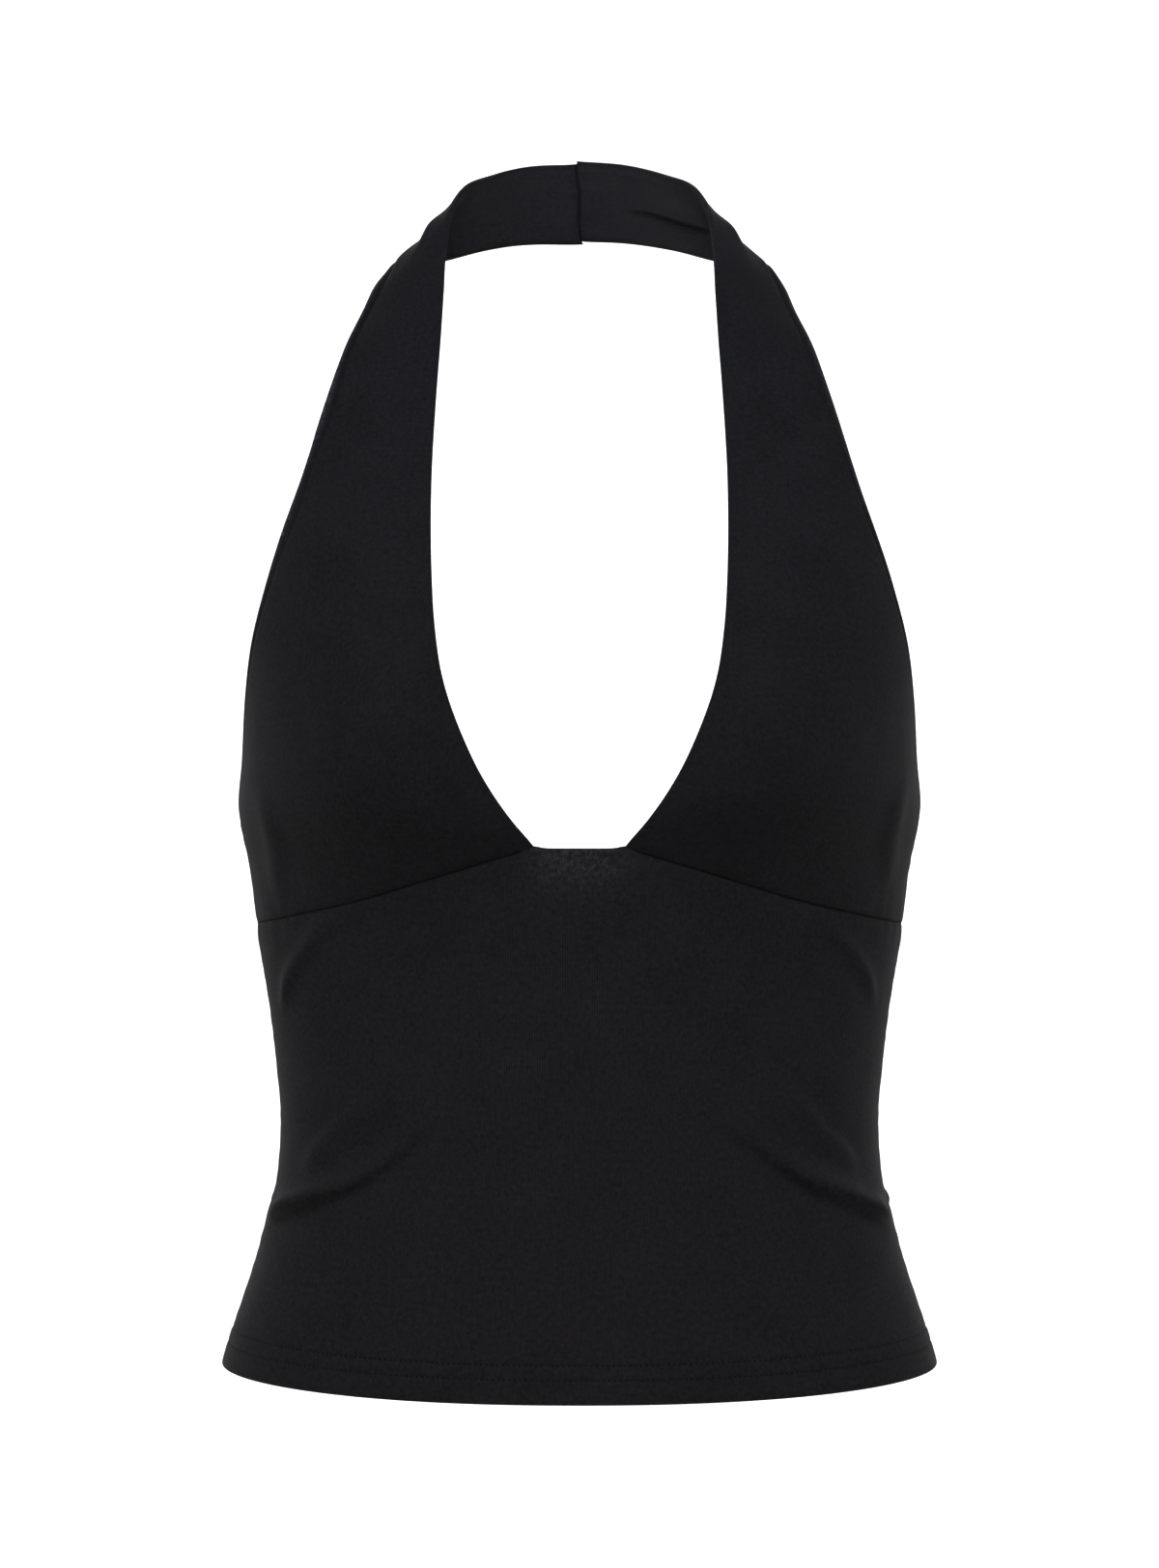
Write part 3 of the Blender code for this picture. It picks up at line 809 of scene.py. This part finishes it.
def panel_sections(count):
    """The underbust seam, then each section of STRAP, as rows of points."""
    fine = np.linspace(EDGE_ANGLE, 90, SECTION_POINTS)
    reach = fine[-1] - fine[0]
    angles = fine[0] + reach * evenly_along(torso(fine, UNDERARM), count)
    seam = torso(angles, underbust_height(angles) - SEAM_LAP)
    middles = [(seam[0] + seam[-1]) / 2]
    middles += [(np.array(s[0:3]) + np.array(s[3:6])) / 2 for s in STRAP]
    travels = np.gradient(np.array(middles), axis=0)
    sections = [seam]
    even = np.linspace(0, 1, SECTION_POINTS)
    for section, travel in zip(STRAP, travels[1:]):
        shares = evenly_along(section_points(section, travel, even), count)
        sections.append(section_points(section, travel, shares))
    return np.array(sections)


def panel_face():
    """The +X panel's outer face with no relief: points, normals and lengths along and across."""
    sections = panel_sections(SECTION_STEPS)
    steps = np.linalg.norm(np.diff(sections, axis=0), axis=-1).mean(axis=1)
    knots = np.concatenate([[0.0], np.cumsum(steps)])
    along = lines_between(0.0, knots[-1], EDGE_STEPS, EDGE_STEPS, round(knots[-1] / PITCH))
    rows = with_cups(through(knots, sections, along))
    rows[-1, :, 0] = -SEAM_LAP
    on_side_seam = rows[:, -1, 2] <= UNDERARM
    rows[on_side_seam, -1, 1] = SIDE_LINE_Y + SEAM_LAP
    widths = lengths_along(rows)
    grid, across = [], []
    for row, width in zip(rows, widths):
        places = lines_between(0.0, width[-1], EDGE_STEPS, ARM_STEPS, PANEL_COLUMNS)
        grid.append(read_along(row, width, places))
        across.append(places)
    grid, across = np.array(grid), np.array(across)
    up = np.broadcast_to(along[:, None], across.shape)
    return grid, outward(grid), across, up, on_side_seam


def neck_seam_waver(grid, up):
    """How far the panels' ends lean to the right to follow the seam behind the neck."""
    near_end = np.exp(-(up[-1, 0] - up) / NECK_SEAM_FADE)
    lean = np.interp(grid[..., 2], *np.array(NECK_SEAM).T)
    return near_end * (lean + WOBBLE * np.sin(grid[..., 2] / WOBBLE_LENGTH))


def make_panel(name, side):
    """side is 1 for the panel at +X and -1 for its mirror at -X."""
    rolls = RIGHT_ROLL if side > 0 else LEFT_ROLL
    folds = RIGHT_PANEL_FOLDS if side > 0 else LEFT_PANEL_FOLDS
    grid, normals, across, up, on_side_seam = panel_face()
    width = across[:, -1:]
    from_neckline, from_armhole = across, width - across
    from_neck_seam = up[-1:, :] - up
    on_seam = np.broadcast_to(on_side_seam[:, None], across.shape)
    from_side_seam = np.where(on_seam, from_armhole, 1.0)
    sewn = ease(from_neckline / CORNER_RUN)

    spread = ROLL_SPREAD * ease(1 - from_armhole / ROLL_FADE) * between(up, *ROLLED)
    grid = grid + spread[..., None] * unit(np.gradient(grid, axis=1))
    if side < 0:
        near_end = ease(1 - grid[..., 0] / LEFT_DROP_RUN) * (grid[..., 2] > CUP_HEIGHT / 2)
        grid[..., 2] -= LEFT_END_DROP * near_end
    waver = side * neck_seam_waver(grid, up)
    grid[..., 0] += waver
    grid[-1, :, 0] = waver[-1] - SEAM_LAP

    calm = ease(from_armhole / PANEL_CALM) * ease(from_neckline / PANEL_CALM)
    relief = soft_waves(across, up, RIGHT_PANEL_START if side > 0 else LEFT_PANEL_START) * calm
    for fold in folds:
        relief += fold_relief(fold, across, up)
    relief += sewn * pucker(across, up, UNDERBUST_START + side)
    relief += NECK_SEAM_PUCKER * pucker(across, from_neck_seam, NECK_SEAM_START)
    relief += pucker(up, from_side_seam, SIDE_SEAM_START + side)
    relief += sewn * seam_dip(up) + seam_dip(np.minimum(from_neck_seam, from_side_seam))
    relief += roll_relief(rolls, up, from_armhole)
    relief += ripples(NECKLINE_RIPPLES, from_neckline) * ease(up / NECKLINE_RIPPLES_RUN)
    normals = turned(normals, across_seam(grid[0]), up)
    normals = squared(normals, 1, from_side_seam)
    normals = squared(normals, 0, from_neck_seam)
    outer = grid + relief[..., None] * normals

    wall = np.full(across.shape, BUST_WALL)
    arm_depth = np.where(on_seam, SEAM_DEPTH, ROLL_DEPTH)
    arm_run = np.where(on_seam, SEAM_ROLL, ROLL_WIDTH)
    edges = (
        Edge(from_neckline, BUST_WALL / 2, BUST_WALL / 2),
        Edge(from_armhole, arm_depth, arm_run),
        Edge(up, SEAM_DEPTH * sewn, SEAM_ROLL),
        Edge(from_neck_seam, NECK_SEAM_DEPTH, NECK_SEAM_RUN),
    )
    cloth = np.stack([across - width / 2, up], axis=-1)
    # painted highlight on the rolled armhole edge
    wear_and_painted_light = roll_painted_highlight(rolls, up, from_armhole)
    # painted shade along the seam behind the neck and along the underbust seam
    wear_and_painted_light -= NECK_SEAM_PAINTED_SHADE * bell(from_neck_seam, PAINTED_SHADE_REACH)
    wear_and_painted_light -= SEAM_PAINTED_SHADE * sewn * bell(up, PAINTED_SHADE_REACH)
    if side < 0:
        flip = np.array([-1, 1, 1])
        outer, normals, cloth = outer[:, ::-1] * flip, normals[:, ::-1] * flip, cloth[:, ::-1] * flip[:2]
        wear_and_painted_light = wear_and_painted_light[:, ::-1]
        edges = [Edge(*(np.broadcast_to(part, wall.shape)[:, ::-1] for part in edge)) for edge in edges]
    return make_sheet(name, outer, normals, wall, edges, cloth, wear_and_painted_light)[0]


# ---- Sewing ----

def pick(piece):
    bpy.ops.object.select_all(action="DESELECT")
    piece.select_set(True)
    bpy.context.view_layer.objects.active = piece


def taken_apart(piece):
    """A piece's points and faces. The piece itself is deleted."""
    points = np.array([v.co for v in piece.data.vertices])
    faces = [tuple(p.vertices) for p in piece.data.polygons]
    bpy.data.objects.remove(piece, do_unlink=True)
    return points, faces


def one_stitch():
    """One stitch along +X: a short thread whose ends go down, and after it a flat disc that is painted
    shade of the needle hole.
    """
    seen = STITCH * STITCH_SEEN
    bpy.ops.object.select_all(action="DESELECT")
    bpy.ops.mesh.primitive_cylinder_add(
        vertices=6, radius=THREAD, depth=seen, end_fill_type="TRIFAN", rotation=(0, math.pi / 2, 0)
    )
    stitch = bpy.context.object
    bpy.ops.object.transform_apply(location=True, rotation=True, scale=True)
    bpy.ops.object.mode_set(mode="EDIT")
    for bend in (STITCH_BEND, -STITCH_BEND):
        bpy.ops.mesh.select_all(action="SELECT")
        bpy.ops.mesh.bisect(plane_co=(STITCH * bend, 0, 0), plane_no=(1, 0, 0))
    bpy.ops.object.mode_set(mode="OBJECT")
    thread_count = len(stitch.data.vertices)
    bpy.ops.mesh.primitive_circle_add(
        vertices=7, radius=SHADE_DISC_RADIUS, fill_type="TRIFAN", location=(STITCH / 2, 0, 0)
    )
    bpy.ops.object.transform_apply(location=True, rotation=True, scale=True)
    stitch.select_set(True)
    bpy.context.view_layer.objects.active = stitch
    bpy.ops.object.join()
    points, faces = taken_apart(stitch)
    in_shade_disc = np.arange(len(points)) >= thread_count
    sink = STITCH_END_SINK * (2 * points[:, 0] / seen) ** 2 + STITCH_SINK
    points[:, 2] = np.where(in_shade_disc, SHADE_DISC_LIFT, points[:, 2] - THREAD * sink)
    return points, faces, in_shade_disc


def crossing_stitch(width, wrap=0):
    """One stitch along +X: a thread that crosses to +Y and back, and a straight one.

    With a wrap, the crossing thread's tip goes round the cloth's edge, this far down.
    """
    half, near = STITCH / 2, STITCH * STITCH_TIP
    tip = [(0, width + WRAP_OUT, -wrap)] if wrap else []
    crossing = [(-half, 0, 0), (-near, width, 0)] + tip + [(near, width, 0), (half, 0, 0)]
    data = bpy.data.curves.new("crossing_thread", "CURVE")
    data.dimensions = "3D"
    data.bevel_depth = THREAD
    data.bevel_resolution = 0
    data.use_fill_caps = True
    for places in (crossing, [(-half, 0, 0), (half, 0, 0)]):
        spline = data.splines.new("POLY")
        spline.points.add(len(places) - 1)
        for point, place in zip(spline.points, places):
            point.co = (*place, 1)
    pick(put_in_scene("crossing_thread", data))
    bpy.ops.object.convert(target="MESH")
    points, faces = taken_apart(bpy.context.object)
    return points, faces, np.zeros(len(points))


def stitch_row(name, stitch, path, normals):
    """A row of stitches along a path on the cloth, as one mesh. A stitch's +Y is out x along."""
    shape, faces, in_shade_disc = stitch
    run = lengths_along(path)
    count = int(run[-1] / STITCH)
    at = (np.arange(count) + 0.5) * run[-1] / count
    along = unit(read_along(path, run, at + STITCH / 2) - read_along(path, run, at - STITCH / 2))
    across = unit(np.cross(read_along(normals, run, at), along))
    axes = np.stack([along, across, np.cross(along, across)], axis=1)
    points = read_along(path, run, at)[:, None] + shape @ axes
    all_faces = [tuple(i + k * len(shape) for i in face) for k in range(count) for face in faces]
    mesh = bpy.data.meshes.new(name)
    mesh.from_pydata(points.reshape(-1, 3).tolist(), [], all_faces)
    # the flat discs at the needle holes carry painted shade
    shade_disc = mesh.attributes.new("needle_hole_painted_shade", "FLOAT", "POINT")
    shade_disc.data.foreach_set("value", np.tile(np.asarray(in_shade_disc, float), count))
    mesh.shade_smooth()
    return put_in_scene(name, mesh)


def nearest_row(distances, wanted):
    """Index of the grid row that runs at a distance from an edge."""
    return int(np.abs(distances.mean(axis=1) - wanted).argmin())


def coverstitch(name, rows, upper, line, face, lining, normals):
    """Two rows of needle stitches outside a turned edge, and the looper threads inside it.

    line reads a grid at a distance from the edge, and upper is the higher row's.
    """
    pieces = []
    for number, row in enumerate(rows, 1):
        row_name = "%s_needle_row_%d" % (name, number)
        pieces.append(stitch_row(row_name, one_stitch(), line(face, row), line(normals, row)))
    inside = -line(normals, upper)
    path = line(lining, upper) + THREAD_LIFT * inside
    pieces.append(stitch_row(name + "_looper", crossing_stitch(max(rows) - min(rows)), path, inside))
    return pieces


def make_hem_rows(front, back):
    """The hem's coverstitch, in closed lines round both body panels."""
    def line(grids, above):
        i, j = nearest_row(front.above_hem, above), nearest_row(back.above_hem, above)
        return np.concatenate([grids[0][i], grids[1][j], grids[0][i][:1]])

    grids = zip(*((panel.face, panel.lining, panel.normals) for panel in (front, back)))
    return coverstitch("hem", NEEDLE_ROWS, max(NEEDLE_ROWS), line, *grids)


def make_back_edge_rows(back):
    def line(grid, below):
        return grid[nearest_row(back.below_top, below)]

    grids = (back.face, back.lining, back.normals)
    return coverstitch("back", BACK_ROWS_BELOW, min(BACK_ROWS_BELOW), line, *grids)


def read_down(values, distances, wanted):
    """A grid's values at wanted distances, which rise down each of its columns."""
    columns = range(values.shape[1])
    return np.stack([read_along(values[:, j], distances[:, j], wanted) for j in columns], axis=1)


def make_allowance(name, panel, turn, from_seam, where):
    """An overlocked seam allowance that lies inside a panel, beside its seam, where a mask says.

    turn lays each grid with its seam as the first row, and its columns so that they run
    on to the right when they are seen from the outside with the seam below.
    """
    kept = turn(where)[0]
    grids = (panel.lining, panel.normals, panel.cloth, from_seam)
    lining, normals, cloth, distance = (turn(grid)[:BESIDE_SEAM, kept] for grid in grids)
    across = lines_between(0.0, ALLOWANCE, ALLOWANCE_STEPS, ALLOWANCE_STEPS, ALLOWANCE_ROWS)
    places = across + ALLOWANCE_FROM_SEAM
    lining = read_down(lining, distance, places)
    normals = unit(read_down(normals, distance, places))
    cloth = read_down(cloth, distance, places)
    run = lengths_along(lining[0])
    across = np.broadcast_to(across[:, None], lining.shape[:2])
    curl = ALLOWANCE_CURL * (1 + swayed(CURL_WAVE, run, run, 0)) / 2 * ease(across / ALLOWANCE)
    outer = lining - (ALLOWANCE_GAP + curl)[..., None] * normals
    wall = np.full(across.shape, ALLOWANCE_WALL)
    half = ALLOWANCE_WALL / 2
    from_ends = np.broadcast_to(np.minimum(run, run[-1] - run), across.shape)
    edges = (Edge(across, half, half), Edge(ALLOWANCE - across, half, half), Edge(from_ends, half, half))
    strip, inside = make_sheet(name, outer, normals, wall, edges, cloth, np.zeros(wall.shape))
    k = nearest_row(ALLOWANCE - across, OVERLOCK_WIDTH)
    width = ALLOWANCE - across[k, 0] - WRAP_INSIDE
    path = (inside[k] - THREAD_LIFT * normals[k])[::-1]
    threads = stitch_row(name + "_overlock", crossing_stitch(width, half), path, -normals[k][::-1])
    return strip, threads


def make_underbust_allowances(front):
    """The underbust seams' allowances, pressed down inside the front."""
    def turn(grid):
        return grid[::-1, ::-1]

    pieces = []
    for side, name in ((1, "underbust_allowance_right"), (-1, "underbust_allowance_left")):
        where = (side * front.angle > EDGE_ANGLE + ALLOWANCE_PAST) & (front.from_sides > ALLOWANCE_CLEAR)
        pieces.append(make_allowance(name, front, turn, front.below_top, where))
    return pieces


def make_side_allowances(back):
    """The side seams' allowances, pressed to the back, from the turned hem to the underarm."""
    def right(grid):
        return np.swapaxes(grid, 0, 1)[:, ::-1]

    def left(grid):
        return np.swapaxes(grid, 0, 1)[::-1]

    where = (back.above_hem > HEM_TURN + ALLOWANCE_ABOVE_HEM) & (back.below_top > ALLOWANCE_CLEAR)
    return [
        make_allowance("side_allowance_right", back, right, back.from_sides, where),
        make_allowance("side_allowance_left", back, left, back.from_sides, where),
    ]


# ---- Materials ----

MATT_YARN = (0.85, 0.03)  # roughness and specular level
LIGHTER_BY_WEAR_AND_PAINTED_LIGHT = 0.75  # the mask of wear and painted light makes the cloth lighter by this share at 1; below 0 it is painted shade
COARSER_BY_WEAR_AND_PAINTED_LIGHT = 1.4  # and its mottle stronger by this one
HOLE_PAINTED_SHADE = 0.75  # share of the thread's colour that the painted shade of a needle hole takes away


def fill(tree, node, values):
    """A node whose inputs are given values: an output is linked, and anything else is set."""
    for name, value in values.items():
        if isinstance(value, bpy.types.NodeSocket):
            tree.links.new(value, node.inputs[name])
        else:
            node.inputs[name].default_value = value
    return node


def new_group(name, amounts, output):
    """A node group that reads places on the cloth and named amounts, with its two end nodes."""
    group = bpy.data.node_groups.new(name, "ShaderNodeTree")
    group.interface.new_socket(name="Cloth", in_out="INPUT", socket_type="NodeSocketVector")
    for title, amount in amounts.items():
        socket = group.interface.new_socket(name=title, in_out="INPUT", socket_type="NodeSocketFloat")
        socket.default_value = amount
    group.interface.new_socket(name=output, in_out="OUTPUT", socket_type="NodeSocketFloat")
    return group, group.nodes.new("NodeGroupInput"), group.nodes.new("NodeGroupOutput")


def new_material(name, roughness, specular):
    """A material, its nodes and its shader."""
    material = bpy.data.materials.new(name)
    material.use_nodes = True
    tree = material.node_tree
    finish_values = {"Roughness": roughness, "Specular IOR Level": specular}
    return material, tree, fill(tree, tree.nodes["Principled BSDF"], finish_values)


def attribute(tree, name):
    node = tree.nodes.new("ShaderNodeAttribute")
    node.attribute_name = name
    return node.outputs["Fac"]


def scaled(tree, colour, amount):
    """A colour times an amount."""
    node = tree.nodes.new("ShaderNodeVectorMath")
    node.operation = "SCALE"
    return fill(tree, node, {0: colour, "Scale": amount}).outputs[0]


def maths(tree, operation, *values):
    node = tree.nodes.new("ShaderNodeMath")
    node.operation = operation
    return fill(tree, node, dict(enumerate(values))).outputs[0]


def plus(tree, first, second):
    return maths(tree, "ADD", first, second)


def minus(tree, first, second):
    return maths(tree, "SUBTRACT", first, second)


def times(tree, first, second):
    return maths(tree, "MULTIPLY", first, second)


def knit_group():
    """Rows of small knitted loops: wales stand along V and courses along U."""
    counts = {"Wales per metre": 950.0, "Courses per metre": 1250.0}
    group, start, end = new_group("fine_jersey_knit", counts, "Height")
    parts = fill(group, group.nodes.new("ShaderNodeSeparateXYZ"), {0: start.outputs["Cloth"]})

    def zigzag(value):
        """0 in the middle of each whole step of a value and 1 at its ends."""
        from_middle = minus(group, maths(group, "FRACT", value), 0.5)
        return times(group, maths(group, "ABSOLUTE", from_middle), 2.0)

    slant, wale_share = 0.8, 0.65
    side = zigzag(times(group, parts.outputs["X"], start.outputs["Wales per metre"]))
    course = times(group, parts.outputs["Y"], start.outputs["Courses per metre"])
    loop = zigzag(plus(group, course, times(group, side, slant)))
    round_wale = minus(group, 1.0, times(group, side, side))
    height = plus(group, times(group, round_wale, wale_share), times(group, loop, 1 - wale_share))
    fill(group, end, {"Height": height})
    return group


def mottle_group():
    """The uneven depth of a dyed and brushed cloth: soft clouds and fine flecks, about 1."""
    group, start, end = new_group("dye_mottle", {"Clouds": 0.22, "Flecks": 0.46}, "Depth")

    def marks(amount, scale, detail, stretch):
        """Noise about 0, as strong as one of the group's amounts says."""
        mapping = group.nodes.new("ShaderNodeMapping")
        places = fill(group, mapping, {"Vector": start.outputs["Cloth"], "Scale": stretch}).outputs[0]
        values = {"Vector": places, "Scale": scale, "Detail": detail, "Roughness": 0.6}
        noise = fill(group, group.nodes.new("ShaderNodeTexNoise"), values)
        return times(group, minus(group, noise.outputs["Fac"], 0.5), start.outputs[amount])

    clouds = marks("Clouds", 38.0, 3.0, (1, 1, 1))
    up_flecks = marks("Flecks", 640.0, 2.0, (1.25, 0.8, 1))
    cross_flecks = marks("Flecks", 470.0, 2.0, (0.9, 1.1, 1))
    total = times(group, plus(group, clouds, plus(group, up_flecks, cross_flecks)), 2.0)
    fill(group, end, {"Depth": plus(group, total, 1.0)})
    return group


def jersey_material(name, colour, knit, mottle, knit_depth):
    """Soft black jersey: knit bump, dye mottle, lighter places of wear, a painted highlight on the rolled
    armhole edges, painted shade in the seams, and a faint nap.
    """
    material, tree, shader = new_material(name, *MATT_YARN)
    cloth = tree.nodes.new("ShaderNodeUVMap")
    cloth.uv_map = "cloth"

    def on_cloth(group):
        node = tree.nodes.new("ShaderNodeGroup")
        node.node_tree = group
        return fill(tree, node, {"Cloth": cloth.outputs[0]}).outputs[0]

    # the mask holds wear, the painted highlight of the rolled edges and the painted shade of the seams
    wear_and_painted_light = attribute(tree, "wear_and_painted_light")
    lighter = plus(tree, times(tree, wear_and_painted_light, LIGHTER_BY_WEAR_AND_PAINTED_LIGHT), 1.0)
    coarser = plus(tree, times(tree, wear_and_painted_light, COARSER_BY_WEAR_AND_PAINTED_LIGHT), 1.0)
    uneven = times(tree, minus(tree, on_cloth(mottle), 1.0), coarser)
    amount = times(tree, plus(tree, uneven, 1.0), lighter)
    bump_values = {"Strength": 0.55, "Distance": knit_depth, "Height": on_cloth(knit)}
    bump = fill(tree, tree.nodes.new("ShaderNodeBump"), bump_values)
    fill(tree, shader, {
        "Base Color": scaled(tree, colour, amount),
        "Normal": bump.outputs[0],
        "Sheen Weight": 0.03,
        "Sheen Roughness": 0.3,
        "Sheen Tint": (0.8, 0.8, 0.85, 1),
    })
    return material


def thread_material():
    """Matt black spun thread, with its twist, and darker on the flat discs at the needle holes: painted
    shade.
    """
    material, tree, shader = new_material("black_thread", *MATT_YARN)
    place = tree.nodes.new("ShaderNodeTexCoord")
    twist = tree.nodes.new("ShaderNodeTexWave")
    twist.bands_direction = "DIAGONAL"
    fill(tree, twist, {"Scale": 900.0, "Vector": place.outputs["Object"]})
    shade = tree.nodes.new("ShaderNodeMix")
    shade.data_type = "RGBA"
    dark, light = (0.0095, 0.0092, 0.0100, 1), (0.0160, 0.0155, 0.0168, 1)
    fill(tree, shade, {"A": dark, "B": light, "Factor": twist.outputs["Fac"]})
    lit = minus(tree, 1.0, times(tree, attribute(tree, "needle_hole_painted_shade"), HOLE_PAINTED_SHADE))
    fill(tree, shader, {"Base Color": scaled(tree, shade.outputs["Result"], lit)})
    return material


# ---- Studio ----

def make_camera():
    data = bpy.data.cameras.new("camera")
    data.sensor_fit = "VERTICAL"
    data.sensor_height = 24
    data.lens = 77.41
    camera = put_in_scene("camera", data)
    camera.location = (0, -2.275, -0.2617)
    camera.rotation_euler = (math.pi / 2, 0, 0)
    bpy.context.scene.camera = camera


def soft_box(name, place, aim, width, height, power, colour=(1, 1, 1), spread=180):
    data = bpy.data.lights.new(name, "AREA")
    data.color = colour
    data.spread = math.radians(spread)
    data.shape = "RECTANGLE"
    data.size, data.size_y = width, height
    data.energy = power
    light = put_in_scene(name, data)
    light.location = place
    away = np.array(place, float) - np.array(aim, float)
    flat = math.hypot(away[0], away[1])
    light.rotation_euler = (math.atan2(flat, away[2]), 0, math.atan2(away[0], -away[1]))


def make_floor():
    """A pale floor that sweeps up into a wall behind."""
    reach, start, level, bend, wall_top = 16.0, 1.4, -0.95, 0.9, 4.5
    turns = np.linspace(0, math.pi / 2, 17)
    profile = [(-reach, 0.0)]
    profile += [(math.sin(turn) * bend, bend - math.cos(turn) * bend) for turn in turns]
    profile += [(bend, wall_top)]
    points, faces = [], []
    for y, z in profile:
        points += [(-reach, start + y, level + z), (reach, start + y, level + z)]
    for k in range(0, len(points) - 2, 2):
        faces.append((k, k + 1, k + 3, k + 2))
    mesh = bpy.data.meshes.new("pale_floor")
    mesh.from_pydata(points, [], faces)
    mesh.shade_smooth()
    paper, tree, shader = new_material("pale_paper", 0.9, 0.5)
    fill(tree, shader, {"Base Color": (0.93, 0.93, 0.93, 1)})
    mesh.materials.append(paper)
    put_in_scene("pale_floor", mesh)


def make_studio():
    """The floor, soft boxes round the top, and lights on the wall behind it."""
    scene = bpy.context.scene
    scene.view_settings.view_transform = "Standard"
    scene.world = bpy.data.worlds.new("studio_air")
    scene.world.use_nodes = True
    air = scene.world.node_tree
    fill(air, air.nodes["Background"], {"Color": (1, 1, 1, 1), "Strength": 0.20})
    make_floor()

    warm, blue = (1.0, 0.99, 0.97), (0.15, 0.50, 1.0)
    soft_box("soft_box_front", (0, -2.0, 1.8), (0, -0.1, -0.25), 1.4, 0.8, 9.8, (1.0, 0.98, 0.98), 70)
    soft_box("soft_box_above", (0, -1.3, 0.9), (0, -0.02, 0.03), 0.5, 0.3, 0.27, blue, 40)
    soft_box("soft_box_left", (-2.0, -0.7, 0.1), (0, -0.1, -0.3), 0.5, 0.9, 1.15, warm, 60)
    soft_box("soft_box_right", (2.0, -0.7, 0.1), (0, -0.1, -0.3), 0.5, 0.9, 0.95, warm, 60)
    soft_box("soft_box_back", (0, 1.9, 1.6), (0, -0.05, -0.3), 0.8, 0.6, 4.5, spread=60)
    soft_box("neck_light_right", (0.5, -1.35, 0.8), (-0.045, -0.01, 0.004), 0.05, 0.05, 0.013, spread=5)
    soft_box("neck_light_left", (-0.5, -1.35, 0.8), (0.050, -0.01, 0.006), 0.05, 0.05, 0.020, spread=5)
    for side, x in (("left", -1), ("right", 1)):
        soft_box("rim_" + side, (1.5 * x, 1.0, 0.0), (0, -0.1, -0.25), 0.5, 1.5, 1.2, spread=90)
        soft_box("backdrop_" + side, (1.7 * x, 0.4, 0.3), (1.2 * x, 2.3, 0.1), 1.6, 2.0, 55)


# ---- Putting it together ----

def finish(pieces, material):
    for piece in pieces:
        piece.data.materials.append(material)
        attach(piece, "root")


def dress():
    knit = knit_group()
    mottle = mottle_group()
    body_jersey = jersey_material("body_jersey", (0.0112, 0.0106, 0.0118), knit, mottle, 0.00016)
    bust_jersey = jersey_material("bust_jersey", (0.0100, 0.0098, 0.0108), knit, mottle, 0.00014)
    thread = thread_material()

    front, back = make_front(), make_back()
    right = make_panel("bust_cloth_right", 1)
    left = make_panel("bust_cloth_left", -1)
    front_strips, front_overlock = zip(*make_underbust_allowances(front))
    back_strips, back_overlock = zip(*make_side_allowances(back))
    front_sewing = make_hem_rows(front, back) + list(front_overlock)
    back_sewing = make_back_edge_rows(back) + list(back_overlock)

    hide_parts("front_body")
    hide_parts("back_body")
    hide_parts("bust_panel_right")
    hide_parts("bust_panel_left")
    finish([front.sheet, back.sheet, *front_strips, *back_strips], body_jersey)
    finish([right, left], bust_jersey)
    finish(front_sewing + back_sewing, thread)


make_camera()
make_studio()
dress()
